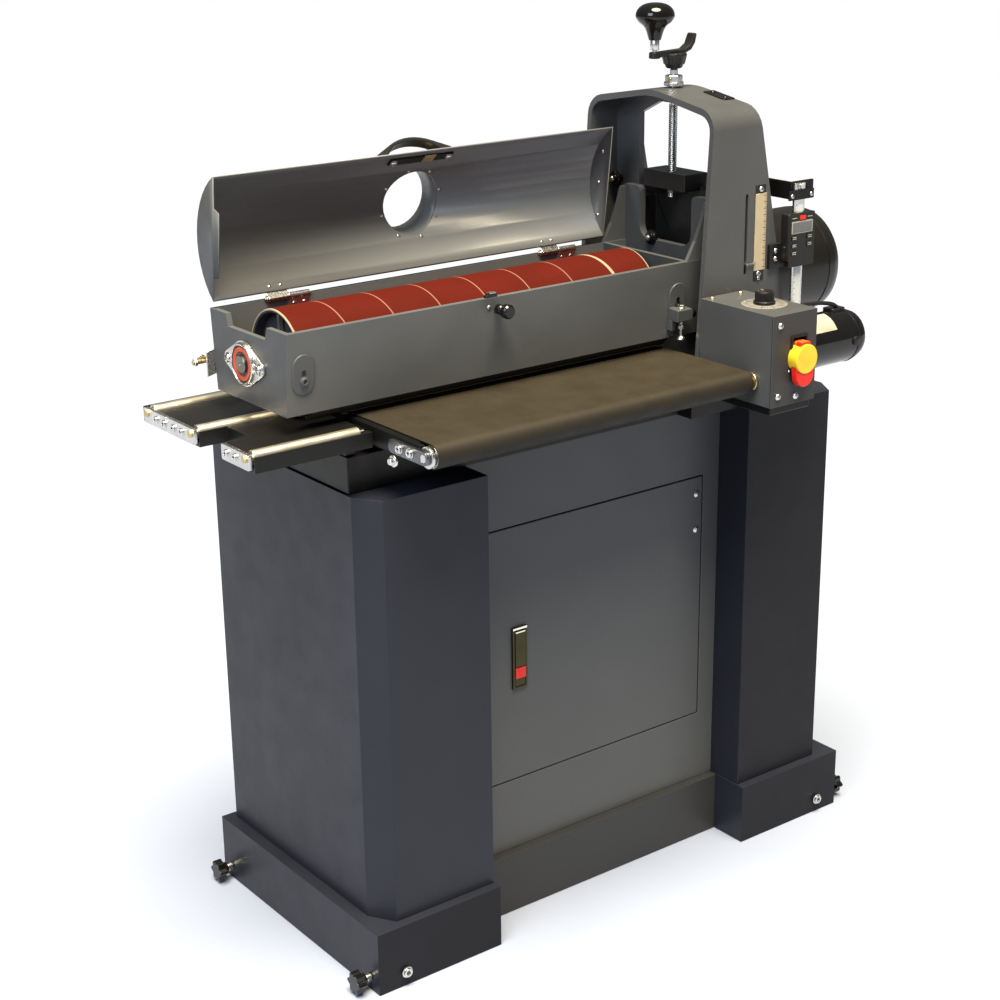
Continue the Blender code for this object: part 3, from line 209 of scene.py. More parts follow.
def belt_cloth(name, colour, top):
    """Abrasive conveyor cloth: mineral grain, dull scuffs along the feed, a few bright grits, and painted
    shade that darkens it below its top face.
    """
    s = Shader(name, 0.62, 0.0, 0.0, 0.1, 0.3)
    base = s.ramp(s.noise(9.0, 6.0, 0.6), (0.3, shade(colour, 0.78)), (0.75, shade(colour, 1.22)))
    streak = s.ramp(s.noise(5.0, 4.0, 0.6, s.scaled((30.0, 1.5, 1.0))), (0.55, 0.0), (0.8, 0.35))
    # painted shade: below its top face, over the nose and underneath, the cloth is mixed towards a much
    # darker brown
    painted_shade_ramp = s.ramp(s.math("SUBTRACT", s.axes()[2], top - 0.006), (0.0, 0.3), (0.0055, 1.0))
    scuffed_and_painted_shade = s.mix(painted_shade_ramp, shade(colour, 0.22), s.mix(streak, base, shade(colour, 1.5)))
    grit = s.ramp(s.cells(420.0), (0.06, 1.0), (0.16, 0.0))
    rare = s.ramp(s.noise(50.0, 2.0), (0.58, 0.0), (0.66, 0.8))
    s.colour(s.mix(s.math("MULTIPLY", grit, rare), scuffed_and_painted_shade, shade(colour, 3.6)))
    s.rough(s.ramp(s.noise(25.0, 4.0), (0.3, 0.52), (0.8, 0.72)))
    s.bump(s.noise(1500.0, 2.0), 0.00018, 0.6)
    return s.material


def drum_wrap(name, colour, seam, centre_y, centre_z, start, pitch, ends):
    """Abrasive strip wound round the drum: a helical seam, pale edges and a fine grit."""
    s = Shader(name, 0.76, 0.0, 0.0, 0.1, 0.1)
    x, y, z = s.axes()
    forward = s.math("MULTIPLY", s.math("SUBTRACT", y, centre_y), -1.0)
    turn = s.math("DIVIDE", s.math("ARCTAN2", forward, s.math("SUBTRACT", z, centre_z)), 2 * math.pi)
    along = s.math("DIVIDE", s.math("SUBTRACT", x, start), pitch)
    phase = s.math("FRACT", s.math("ADD", s.math("SUBTRACT", along, turn), 100.0))
    near = s.math("ABSOLUTE", s.math("SUBTRACT", phase, 0.5))
    line = s.ramp(near, (0.484, 0.0), (0.49, 1.0))
    tail = s.math("ABSOLUTE", s.math("SUBTRACT", s.math("SUBTRACT", along, turn), 6.0))
    tail = s.math("LESS_THAN", tail, 0.035)
    edge = s.math("GREATER_THAN", s.math("ABSOLUTE", s.math("SUBTRACT", x, sum(ends) / 2)),
                  (ends[1] - ends[0]) / 2 - 0.0022)
    pale = s.math("MAXIMUM", tail, edge)
    base = s.ramp(s.noise(12.0, 6.0, 0.6), (0.28, shade(colour, 0.84)), (0.74, shade(colour, 1.16)))
    dust = s.ramp(s.noise(900.0, 2.0), (0.6, 0.0), (0.75, 0.35))
    wound = s.mix(line, s.mix(dust, base, shade(colour, 1.7)), seam)
    s.colour(s.mix(pale, wound, (0.25, 0.21, 0.15)))
    s.bump(s.noise(1700.0, 2.0), 0.00016, 0.6)
    s.bump(line, 0.0003, 0.6)
    return s.material


def graduated(name, colour, ink, axis, start, pitch, long_every, lines_from, span_axis, span):
    """A printed plate with a column of ticks, every tenth of them longer."""
    s = Shader(name, 0.45, 0.0, 0.1, 0.15)
    parts = s.axes()
    along = s.math("DIVIDE", s.math("SUBTRACT", parts[axis], start), pitch)
    thin = s.math("LESS_THAN", s.math("FRACT", along), 0.3)
    big = s.math("LESS_THAN", s.math("FRACT", s.math("DIVIDE", along, long_every)), 0.3 / long_every * 1.6)
    across = s.math("DIVIDE", s.math("SUBTRACT", parts[span_axis], span[0]), span[1] - span[0])
    short_zone = s.math("LESS_THAN", across, lines_from)
    long_zone = s.math("LESS_THAN", across, lines_from * 1.7)
    inked = s.math("MAXIMUM", s.math("MULTIPLY", thin, short_zone), s.math("MULTIPLY", big, long_zone))
    base = s.ramp(s.noise(30.0, 4.0), (0.3, shade(colour, 0.92)), (0.7, shade(colour, 1.05)))
    s.colour(s.mix(inked, base, ink))
    s.bump(s.noise(600.0, 2.0), 0.00004, 0.3)
    return s.material


CABINET = painted("cabinet_enamel", (0.013, 0.015, 0.0235), 0.4, 260.0, 0.00022, 0.1, 0.0)
PANEL = painted("panel_enamel", (0.066, 0.07, 0.077), 0.4, 260.0, 0.00022, 0.06, 0.0)
# a darker copy of the cabinet paint for the right pedestal's and the plinths' fronts: painted shade
CABINET_FRONT_SHADE = painted("cabinet_front_painted_shade", (0.01, 0.0105, 0.015), 0.44, 260.0, 0.00022, 0.1, 0.0,
                        0.13)
HOUSING = cast_paint("housing_enamel", (0.075, 0.079, 0.083), 0.36)
# a darker copy of the housing paint for the housing's open end: painted shade
HOUSING_END_SHADE = cast_paint("housing_end_painted_shade", (0.038, 0.042, 0.048), 0.4)
CASTING = cast_paint("casting_enamel", (0.057, 0.06, 0.065), 0.36)
COVER = painted("cover_enamel", (0.03, 0.029, 0.031), 0.4, 260.0, 0.00022, 0.08, 0.0)
# a darker copy of the panel paint for the low centre plinth: painted shade
SKIRTING_SHADE = painted("skirting_painted_shade", (0.026, 0.027, 0.03), 0.4, 260.0, 0.00022, 0.06, 0.0)
HOOD_END = painted("hood_end_enamel", (0.06, 0.064, 0.07), 0.34, 300.0, 0.00012, 0.05, 0.1)
HOOD = painted("hood_enamel", (0.142, 0.147, 0.152), 0.34, 300.0, 0.00012, 0.05, 0.1)
BLACK = painted("black_enamel", (0.005, 0.005, 0.0052), 0.38, 380.0, 0.0002, 0.2, 0.0)
BLACK_CAST = cast_paint("black_casting", (0.0075, 0.0072, 0.007), 0.42)
HUB = cast_paint("hub_casting", (0.045, 0.048, 0.058), 0.42)
MOTOR = painted("motor_enamel", (0.006, 0.0055, 0.0045), 0.3, 420.0, 0.00008, 0.12, 0.15)
ZINC = bare_metal("zinc_plate", (0.66, 0.66, 0.65), 0.26)
GROUND = bare_metal("ground_steel", (0.9, 0.84, 0.7), 0.34, (1.0, 30.0, 30.0), 60.0)
DULL = bare_metal("dull_plate", (0.17, 0.175, 0.19), 0.32)
OXIDE = bare_metal("black_oxide", (0.055, 0.052, 0.05), 0.34)
LATCH = bare_metal("latch_metal", (0.062, 0.056, 0.03), 0.42)
BRASS = bare_metal("yellow_passivate", (0.6, 0.47, 0.24), 0.3)
SHAFT = bare_metal("dull_shaft", (0.22, 0.2, 0.17), 0.34)
BELT = belt_cloth("conveyor_cloth", (0.0215, 0.0165, 0.0095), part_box("conveyor_belt")[1].z)
GLOSS = moulded("gloss_black", (0.004, 0.004, 0.0042), 0.12, 300.0, 0.00002, 0.2)
SATIN = moulded("satin_black", (0.008, 0.008, 0.0086), 0.34)
RUBBER = moulded("black_rubber", (0.01, 0.01, 0.0102), 0.62, 500.0, 0.00012)
RED = moulded("red_plastic", (0.64, 0.014, 0.006), 0.34, 400.0, 0.00004, 0.1)
ORANGE = moulded("orange_plastic", (0.75, 0.12, 0.015), 0.3, 400.0, 0.00004, 0.2)
YELLOW = moulded("yellow_plastic", (0.62, 0.43, 0.02), 0.3, 400.0, 0.00004, 0.2)
SEAL = moulded("red_seal", (0.43, 0.055, 0.018), 0.38, 500.0, 0.00006, 0.1)
CREAM = moulded("cream_plate", (0.46, 0.38, 0.25), 0.42, 500.0, 0.00004)
RIM = moulded("drum_rim", (0.4, 0.34, 0.25), 0.42, 500.0, 0.00004)
LABEL = moulded("blank_label", (0.3, 0.29, 0.25), 0.42, 400.0, 0.00003)
SCREEN = moulded("grey_screen", (0.085, 0.09, 0.1), 0.12, 500.0, 0.00001, 0.6)

# ------------------------------------------------------------------ building pieces
def dress(node, material, bevel=0.0012, segments=2, angle=33.0, planar=True):
    """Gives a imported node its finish, with its meshing tidied and its edges eased."""
    obj = NODES[node]
    obj.data.materials.clear()
    obj.data.materials.append(material)
    for polygon in obj.data.polygons:
        polygon.use_smooth = True
        polygon.material_index = 0
    weld = obj.modifiers.new("weld", "WELD")
    weld.merge_threshold = 0.00002
    if planar:
        flat = obj.modifiers.new("planar", "DECIMATE")
        flat.decimate_type = "DISSOLVE"
        flat.angle_limit = math.radians(0.8)
    if bevel:
        ease(obj, bevel, segments, angle)
    return obj


def ease(obj, bevel, segments=2, angle=33.0):
    rounding = obj.modifiers.new("eased_edges", "BEVEL")
    rounding.width = bevel
    rounding.segments = segments
    rounding.limit_method = "ANGLE"
    rounding.angle_limit = math.radians(angle)
    rounding.use_clamp_overlap = True
    rounding.miter_outer = "MITER_ARC"
    normals = obj.modifiers.new("face_normals", "WEIGHTED_NORMAL")
    normals.keep_sharp = True


def frame_of(direction, up=None):
    """Axes (u, v, w) with w along a direction."""
    w = Vector(direction).normalized()
    hint = Vector(up) if up else (Z if abs(w.z) < 0.9 else Y)
    v = (hint - w * hint.dot(w)).normalized()
    return v.cross(w), v, w


class Piece:
    """One object, gathered from lathed, extruded and swept solids."""

    def __init__(self, name, body, *materials):
        self.name, self.body, self.materials = name, body, materials
        self.bm = bmesh.new()

    def face(self, corners, material):
        corners = list(dict.fromkeys(corners))
        if len(corners) < 3:
            return
        try:
            made = self.bm.faces.new(corners)
        except ValueError:
            return
        made.material_index = material
        made.smooth = True

    def circle(self, middle, u, v, radius, steps, phase=0.0):
        """A loop of points about a middle, in the plane of u and v."""
        turns = (phase + 2 * math.pi * i / steps for i in range(steps))
        return [self.bm.verts.new(middle + (u * math.cos(a) + v * math.sin(a)) * radius) for a in turns]

    def skin(self, loops, material=0, capped=True):
        """Faces between neighbouring loops, and over the first and the last."""
        for lower, upper in zip(loops, loops[1:]):
            for i in range(len(lower)):
                j = (i + 1) % len(lower)
                self.face([lower[i], lower[j], upper[j], upper[i]], material)
        if capped:
            self.face(loops[0], material)
            self.face(loops[-1], material)
        return self

    def lathe(self, profile, foot, direction, steps=24, material=0, up=None, phase=0.0):
        """profile is (radius, height) from one end to the other; ends off the axis are closed."""
        u, v, w = frame_of(direction, up)
        foot = Vector(foot)
        loops = []
        for radius, height in profile:
            middle = foot + w * height
            if radius:
                loops.append(self.circle(middle, u, v, radius, steps, phase))
            else:
                loops.append([self.bm.verts.new(middle)] * steps)
        return self.skin(loops, material)

    def ring(self, profile, foot, direction, steps=24, material=0):
        """A closed profile turned about an axis it doesn't reach."""
        u, v, w = frame_of(direction)
        foot = Vector(foot)
        loops = [self.circle(foot + w * height, u, v, radius, steps) for radius, height in profile]
        return self.skin(loops + loops[:1], material, False)

    def prism(self, outline, foot, direction, depth, material=0, up=None):
        """outline is (u, v) about the foot, carried a depth along the direction."""
        u, v, w = frame_of(direction, up)
        foot = Vector(foot)
        low = [self.bm.verts.new(foot + u * a + v * b) for a, b in outline]
        high = [self.bm.verts.new(foot + u * a + v * b + w * depth) for a, b in outline]
        return self.skin([low, high], material)

    def block(self, low, high, material=0):
        (x0, y0, z0), (x1, y1, z1) = low, high
        return self.prism([(x0, y0), (x1, y0), (x1, y1), (x0, y1)], (0, 0, z0), Z, z1 - z0, material, Y)

    def tube(self, points, radius, sides=12, material=0):
        """A round bar along a path, its ends closed."""
        points = [Vector(p) for p in points]
        loops = []
        side = None
        for k, point in enumerate(points):
            ahead = points[min(k + 1, len(points) - 1)] - points[max(k - 1, 0)]
            ahead.normalize()
            if side is None:
                side = frame_of(ahead)[0]
            side = (side - ahead * side.dot(ahead)).normalized()
            other = ahead.cross(side)
            loops.append(self.circle(point, side, other, radius, sides))
        return self.skin(loops, material)

    def done(self, bevel=0.0, segments=2, angle=33.0, sharp=38.0, replaces=()):
        """Makes the object with its materials, rides it on its body and hides the nodes it stands for."""
        bmesh.ops.recalc_face_normals(self.bm, faces=self.bm.faces[:])
        mesh = bpy.data.meshes.new(self.name)
        self.bm.to_mesh(mesh)
        self.bm.free()
        for material in self.materials:
            mesh.materials.append(material)
        obj = bpy.data.objects.new(self.name, mesh)
        bpy.context.scene.collection.objects.link(obj)
        if bevel:
            ease(obj, bevel, segments, angle)
        else:
            mesh.set_sharp_from_angle(angle=math.radians(sharp))
        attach(obj, self.body)
        if replaces:
            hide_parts(*replaces)
        return obj


def centre(node):
    low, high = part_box(node)
    return (low + high) / 2


def arc(middle, radius, start, end, steps):
    return [(middle[0] + radius * math.cos(math.radians(start + (end - start) * i / steps)),
             middle[1] + radius * math.sin(math.radians(start + (end - start) * i / steps)))
            for i in range(steps + 1)]


def pill(half_width, half_height, steps=8):
    """A round-ended slot standing up, about its middle."""
    rise = half_height - half_width
    return arc((0, rise), half_width, 0, 180, steps) + arc((0, -rise), half_width, 180, 360, steps)


def round_box(half_width, half_height, radius, steps=4):
    w, h = half_width - radius, half_height - radius
    return (arc((w, h), radius, 0, 90, steps) + arc((-w, h), radius, 90, 180, steps)
            + arc((-w, -h), radius, 180, 270, steps) + arc((w, -h), radius, 270, 360, steps))


# ------------------------------------------------------------------ fasteners
def washer(piece, at, direction, radius, thick=0.0012, material=0):
    return piece.lathe([(radius - 0.0003, 0.0), (radius, 0.0003), (radius, thick - 0.0003),
                        (radius - 0.0004, thick), (0.0, thick)], at, direction, 24, material)


def hex_head(piece, at, direction, radius, height, material=0, phase=0.0):
    """A hexagon head with its corners chamfered, on a thin bearing face."""
    at = Vector(at)
    w = Vector(direction).normalized()
    piece.lathe([(radius * 0.9, 0.0), (radius * 0.9, 0.0004)], at, w, 24, material)
    piece.lathe([(radius, 0.0003), (radius, height - 0.0006), (radius * 0.9, height), (0.0, height)],
                at, w, 6, material, None, phase)
    return piece


def socket_head(piece, at, direction, radius, height, material=0, recess_shade=1):
    """A cap screw: a knurl-edged round head with a hexagon socket, its floor dark: painted shade in the
    socket.
    """
    at = Vector(at)
    w = Vector(direction).normalized()
    piece.lathe([(radius, 0.0), (radius, height - 0.0006), (radius - 0.0006, height), (radius * 0.55, height),
                 (radius * 0.5, height - 0.0003), (radius * 0.5, height * 0.45), (0.0, height * 0.45)],
                at, w, 24, material)
    piece.lathe([(radius * 0.46, 0.0), (radius * 0.46, height * 0.5), (0.0, height * 0.5)], at, w, 6, recess_shade)
    return piece


def pan_head(piece, at, direction, radius, height, material=0, recess_shade=1, phase=0.3):
    """A domed head with a cross recess, drawn as a dark cross standing on the dome: painted shade in the
    recess.
    """
    at = Vector(at)
    w = Vector(direction).normalized()
    piece.lathe([(radius * 0.96, 0.0), (radius, height * 0.25), (radius * 0.9, height * 0.62),
                 (radius * 0.62, height * 0.9), (radius * 0.3, height), (0.0, height)], at, w, 24, material)
    u, v, _ = frame_of(w)
    for turn in (phase, phase + math.pi / 2):
        a = u * math.cos(turn) + v * math.sin(turn)
        b = w.cross(a)
        arm, half = radius * 0.52, radius * 0.1
        corners = [at + w * (height * 0.8) + a * (arm * i) + b * (half * j)
                   for i, j in ((-1, -1), (1, -1), (1, 1), (-1, 1))]
        piece.skin([[piece.bm.verts.new(corner + w * rise) for corner in corners]
                    for rise in (0.0, height * 0.23)], recess_shade)
    return piece


def screws(name, body, kind, spots, direction, radius, height, material=ZINC, ring=0.0):
    """A set of like fasteners on one face."""
    # the second finish, black oxide, gives the heads' recesses their painted shade
    piece = Piece(name, body, material, OXIDE)
    lift = Vector(direction).normalized()
    for index, spot in enumerate(spots):
        at = Vector(spot)
        if ring:
            washer(piece, at, direction, ring)
            at = at + lift * 0.0012
        if kind == "hex":
            hex_head(piece, at, direction, radius, height, 0, 0.4 + index)
        elif kind == "socket":
            socket_head(piece, at, direction, radius, height)
        elif kind == "rivet":
            piece.lathe([(radius, 0.0), (radius * 0.93, height * 0.45), (radius * 0.66, height * 0.85),
                         (radius * 0.3, height), (0.0, height)], at, direction, 20)
        else:
            pan_head(piece, at, direction, radius, height, 0, 1, 0.3 + index * 0.7)
    return piece.done()


# ------------------------------------------------------------------ places taken from the frame
AXIS = centre("drum")
DRUM_LENGTH = 0.635
HOUSE_LOW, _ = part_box("drum_housing")
HEAD_END = HOUSE_LOW.x
HEAD_TOP = HOUSE_LOW.z + 0.116
COLUMN_LOW, COLUMN_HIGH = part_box("column")
WALL_HEIGHT = 0.115                             # the trough's side walls
FRONT_TOP_OUT, FRONT_LOW_OUT = 0.111, 0.101     # their outer faces, from the drum's axis
REAR_TOP_OUT, REAR_LOW_OUT = 0.092, 0.083
CARRIER_X = HEAD_END + 0.688                    # the right pressure carriers
CARRIER_Z = HOUSE_LOW.z + 0.04
HINGE_Y = AXIS.y + 0.082
HINGE_Z = HEAD_TOP + 0.001
LEAN = math.radians(6.5)
CHORD_START, CHORD_END, BULGE = 0.008, 0.184, 0.045
HALF_CHORD = (CHORD_END - CHORD_START) / 2
HOOD_RADIUS = (HALF_CHORD ** 2 + BULGE ** 2) / (2 * BULGE)
HOOD_MIDDLE = CHORD_START + HALF_CHORD
PORT_X = centre("hood_port").x


def front_wall(x, z, out=0.0):
    """A point of the housing's front face at a height, moved out along its normal."""
    share = (HEAD_TOP - z) / WALL_HEIGHT
    y = AXIS.y - (FRONT_TOP_OUT + (FRONT_LOW_OUT - FRONT_TOP_OUT) * share)
    return Vector((x, y, z)) + FRONT_NORMAL * out


def rear_wall(x, z, out=0.0):
    """The same on the rear face."""
    share = (HEAD_TOP - z) / WALL_HEIGHT
    y = AXIS.y + REAR_TOP_OUT + (REAR_LOW_OUT - REAR_TOP_OUT) * share
    return Vector((x, y, z)) + REAR_NORMAL * out


FRONT_NORMAL = Vector((0.0, -WALL_HEIGHT, -0.01)).normalized()
REAR_NORMAL = Vector((0.0, WALL_HEIGHT, -0.009)).normalized()


def hood_point(x, u, w):
    """A point of the open hood: u up its chord from the hinge, w out along its bulge."""
    return Vector((x, HINGE_Y - u * math.sin(LEAN) + w * math.cos(LEAN),
                   HINGE_Z + u * math.cos(LEAN) + w * math.sin(LEAN)))


def hood_inside(x, u):
    """A point on the hood's inner face and the direction off it, into the mouth."""
    radius = HOOD_RADIUS - 0.002
    v = u - HOOD_MIDDLE
    w = math.sqrt(radius ** 2 - v ** 2)
    centre_depth = HOOD_RADIUS - BULGE
    spot = hood_point(x, u, w - centre_depth)
    away = hood_point(x, HOOD_MIDDLE, -centre_depth) - spot
    return spot, away.normalized()


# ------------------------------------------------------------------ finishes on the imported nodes
FINISHES = (
    ("centre_plinth", SKIRTING_SHADE, 0.002, 3), ("front_frame", PANEL, 0.0007), ("back_panel", CABINET, 0.001),
    ("door", PANEL, 0.0014, 3), ("machine_base", BLACK, 0.002, 3), ("side_table", BLACK, 0.001),
    ("conveyor_bed", BLACK, 0.0006), ("conveyor_belt", BELT, 0.0004, 2, 40.0),
    ("control_box", CASTING, 0.0018, 3), ("column", CASTING, 0.0026, 3, 30.0),
    ("drum_housing", HOUSING, 0.003, 3, 30.0, False), ("motor_mount", BLACK_CAST, 0.002, 2, 33.0, False),
    ("hood", HOOD, 0.0), ("hood_port", HOOD, 0.0), ("hood_handle", SATIN, 0.0014, 3),
    ("front_takeup", DULL, 0.001, 3), ("rear_takeup", DULL, 0.001, 3), ("drive_roller", ZINC, 0.0004),
    ("tail_roller", ZINC, 0.0004), ("lead_screw", ZINC, 0.0004), ("screw_collar", ZINC, 0.0004),
    ("readout_beam", ZINC, 0.0004), ("depth_pointer", ZINC, 0.0004), ("drum_bearing", ZINC, 0.0004),
    ("infeed_pressure_roller", RUBBER, 0.0005), ("outfeed_pressure_roller", RUBBER, 0.0005),
    ("readout_arm", BLACK, 0.0006), ("depth_readout", SATIN, 0.0008), ("feed_motor", GLOSS, 0.002, 3, 25.0),
    ("feed_motor_cable", SATIN, 0.0), ("drum_motor", GLOSS, 0.003, 3, 20.0),
    ("crank_knob", GLOSS, 0.0008, 2, 40.0), ("crank_arm", BLACK_CAST, 0.0016, 3),
    ("pull_knob", GLOSS, 0.0004), ("speed_knob", SATIN, 0.0005), ("switch_body", SATIN, 0.0005),
    ("switch_paddle", RED, 0.0014, 3), ("scale_plate", CREAM, 0.0002),
    ("latch_body", LATCH, 0.0008, 3), ("latch_lever", LATCH, 0.0008, 3),
)
for node, *finish in FINISHES:
    dress(node, *finish)
for side in ("left", "right"):
    dress(side + "_pedestal", CABINET, 0.0022, 3, 20.0)
    dress(side + "_plinth", CABINET, 0.002, 3)
    for end in ("front", "rear"):
        dress(f"{end}_{side}_wheel", RUBBER, 0.0006)
        dress(f"{end}_{side}_brake_knob", GLOSS, 0.0012, 2, 40.0)
for place in ("front", "middle", "rear"):
    dress(place + "_idler_roller", GROUND, 0.0006)
    dress(place + "_idler_bracket", ZINC, 0.0004)

# faces given a second, darker paint by the way they face: the box's front and the hood's ends a darker paint,
# the housing's open end and the fronts of the right pedestal and both plinths painted shade, darker copies of
# their pieces' paint
for node, finish, axis in (("control_box", COVER, -Y), ("hood", HOOD_END, X), ("hood", HOOD_END, -X),
                           ("drum_housing", HOUSING_END_SHADE, -X), ("right_pedestal", CABINET_FRONT_SHADE, -Y),
                           ("left_plinth", CABINET_FRONT_SHADE, -Y), ("right_plinth", CABINET_FRONT_SHADE, -Y)):
    materials = NODES[node].data.materials
    if finish.name not in materials:
        materials.append(finish)
    for polygon in NODES[node].data.polygons:
        if polygon.normal.dot(axis) > 0.9:
            polygon.material_index = 1


# ------------------------------------------------------------------ sanding drum
def drum_pieces():
    """The abrasive wrap on its shell, with a rim, spokes and a hub at each end, and the shaft."""
    _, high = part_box("drum")
    left = HEAD_END + 0.047
    right = left + DRUM_LENGTH
    seam_start, seam_pitch = left + 0.0715, 0.0802
    wrap = drum_wrap("drum_wrap", (0.058, 0.0034, 0.0009), (0.2, 0.1, 0.07), AXIS.y, AXIS.z, seam_start,
                     seam_pitch, (left, right))
    roll = Piece("drum_roll", "sanding_drum", wrap, RIM, HUB, GROUND, SHAFT)
    radius, wall, rim, dish = 0.0675, 0.0652, 0.0625, 0.007
    foot = Vector((0.0, AXIS.y, AXIS.z))
    cloth = radius - 0.0022
    roll.ring([(cloth, left + 0.0006), (radius - 0.0006, left + 0.0003), (radius, left + 0.001),
               (radius, right - 0.001), (radius - 0.0006, right - 0.0003), (cloth, right - 0.0006)],
              foot, X, 96, 0)
    for end, sign in ((left, 1), (right, -1)):
        roll.ring([(radius - 0.0006, end), (radius - 0.0006, end + sign * 0.004), (wall, end + sign * 0.004),
                   (wall, end + sign * 0.0002)], foot, X, 96, 1)
        inner = end + sign * dish
        roll.ring([(wall + 0.0004, end + sign * 0.0008), (wall + 0.0004, inner + sign * 0.012),
                   (rim, inner + sign * 0.012), (rim, end + sign * 0.0012)], foot, X, 96, 2)
        roll.ring([(0.028, inner - sign * 0.002), (0.028, inner + sign * 0.008),
                   (0.0128, inner + sign * 0.008), (0.0128, inner - sign * 0.002)], foot, X, 40, 2)
        for k in range(4):
            turn = math.radians(90 * k + 2)
            out = Vector((0.0, math.sin(turn), math.cos(turn)))
            start = foot + X * (inner + sign * 0.0005) + out * 0.024
            roll.prism([(-0.003, 0.0), (0.003, 0.0), (0.0026, rim - 0.0235), (-0.0026, rim - 0.0235)],
                       start, X * sign, 0.0055, 2 if k else 3, tuple(out))
        back = inner + sign * 0.01
        roll.ring([(rim + 0.001, back), (rim + 0.001, back + sign * 0.002), (0.0126, back + sign * 0.002),
                   (0.0126, back)], foot, X, 48, 2)
    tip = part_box("drum_bearing")[1].x - 0.0092
    roll.lathe([(0.0, tip + 0.003), (0.0015, tip + 0.001), (0.0022, tip), (0.0112, tip),
                (0.0125, tip + 0.0012), (0.0125, high.x), (0.0, high.x)], foot, X, 40, 4)
    roll.done(replaces=("drum",))


drum_pieces()


def bearing():
    """The two-bolt flange bearing with its steel rings and red seal."""
    _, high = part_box("drum_bearing")
    unit = Piece("bearing_flange", "sanding_head", ZINC, SATIN, SEAL, GROUND)
    outline = (arc((0.0415, 0.0), 0.011, -58, 58, 8) + arc((0.0, 0.0), 0.032, 52, 128, 12)
               + arc((-0.0415, 0.0), 0.011, 122, 238, 8) + arc((0.0, 0.0), 0.032, 232, 308, 12))
    foot = Vector((high.x, AXIS.y, AXIS.z))
    unit.prism(outline, foot, -X, 0.003, 0, Z)
    unit.ring([(0.03, 0.0028), (0.029, 0.007), (0.0278, 0.0078), (0.0262, 0.0074), (0.0256, 0.006),
               (0.0256, 0.0028)], foot, -X, 56, 0)
    unit.ring([(0.0257, 0.003), (0.0257, 0.0058), (0.0232, 0.0058), (0.0232, 0.003)], foot, -X, 56, 1)
    unit.ring([(0.0233, 0.003), (0.0233, 0.0064), (0.0226, 0.0068), (0.0205, 0.0066), (0.0195, 0.006),
               (0.0176, 0.0064), (0.0168, 0.0058), (0.0168, 0.003)], foot, -X, 56, 2)
    unit.ring([(0.0169, 0.003), (0.0169, 0.0062), (0.0127, 0.0062), (0.0127, 0.003)], foot, -X, 56, 1)
    unit.done(0.0004, 2, 40.0, replaces=("drum_bearing",))
    spots = [foot - X * 0.003 + Y * side for side in (-0.0415, 0.0415)]
    screws("bearing_screws", "sanding_head", "pan", spots, -X, 0.0062, 0.004, ring=0.0082)


bearing()


# ------------------------------------------------------------------ sanding head fittings
def pill_bosses():
    """Round-ended bosses on both walls, each with a slot, drawn as a dark raised pill of painted shade, and a
    screw.
    """
    for tag, x in (("left", HEAD_END + 0.0255), ("right", HEAD_END + 0.689)):
        for wall, normal in ((front_wall, FRONT_NORMAL), (rear_wall, REAR_NORMAL)):
            face = "front" if wall is front_wall else "rear"
            name = f"{tag}_{face}_boss"
            middle = wall(x, AXIS.z + 0.002)
            boss = Piece(name, "sanding_head", CASTING, OXIDE)
            boss.prism(pill(0.017, 0.0285, 12), middle - normal * 0.001, normal, 0.0032, 0, Z)
            boss.done(0.0014, 3, 40.0)
            # painted shade: the slot is a thin dark pill standing proud of the boss
            recess_shade = Piece(name + "_slot", "sanding_head", OXIDE)
            recess_shade.prism(pill(0.0032, 0.0085, 8), wall(x, AXIS.z + 0.0005) - normal * 0.001, normal, 0.0036, 0,
                       Z)
            recess_shade.done(0.0003)
            screws(name + "_screw", "sanding_head", "socket", [wall(x, AXIS.z - 0.0065, 0.002)], normal,
                   0.0056, 0.0034, OXIDE if tag == "right" else CASTING, ring=0.0068)


pill_bosses()


def pressure_bracket(name, spot, away):
    """A pressure roller's carrier: a block on the wall with a spring screw down through it."""
    lug = Piece(name, "sanding_head", CASTING)
    lug.prism([(-0.016, -0.009), (0.016, -0.009), (0.016, 0.006), (0.012, 0.01), (-0.016, 0.01)],
              spot - away * 0.001, away, 0.024, 0, Z)
    lug.prism([(-0.016, -0.026), (-0.008, -0.026), (-0.006, -0.008), (-0.016, -0.008)],
              spot - away * 0.001, away, 0.012, 0, Z)
    lug.done(0.0016, 3)
    screw = Piece(name + "_screw", "sanding_head", ZINC, OXIDE)
    post = spot + away * 0.014 - X * 0.001
    washer(screw, post + Z * 0.01, Z, 0.0062)
    hex_head(screw, post + Z * 0.0112, Z, 0.0052, 0.004, 0, 0.5)
    screw.lathe([(0.0026, -0.0085), (0.0026, -0.034), (0.0, -0.034)], post, Z, 16)
    hex_head(screw, post - Z * 0.0215, Z, 0.006, 0.005, 0, 0.2)
    screw.lathe([(0.0, -0.039), (0.006, -0.039), (0.0066, -0.0375), (0.0048, -0.034), (0.0026, -0.0325)],
                post, Z, 20)
    coil = []
    steps, turns, coil_radius, coil_top, coil_length = 60, 5, 0.0046, 0.0095, 0.0105
    for k in range(steps + 1):
        angle = 2 * math.pi * k * turns / steps
        coil.append(post + Z * (-coil_top - coil_length * k / steps) + X * (coil_radius * math.cos(angle))
                    + Y * (coil_radius * math.sin(angle)))
    screw.tube(coil, 0.0006, 6)
    screw.done()
    cross = spot + away * 0.014 + X * 0.016 - Z * 0.001
    screws(name + "_cross_screw", "sanding_head", "socket", [cross], X, 0.0065, 0.0075, OXIDE,
           0.008)


pressure_bracket("infeed_right_carrier", front_wall(CARRIER_X, CARRIER_Z), FRONT_NORMAL)
pressure_bracket("outfeed_right_carrier", rear_wall(CARRIER_X, CARRIER_Z), REAR_NORMAL)


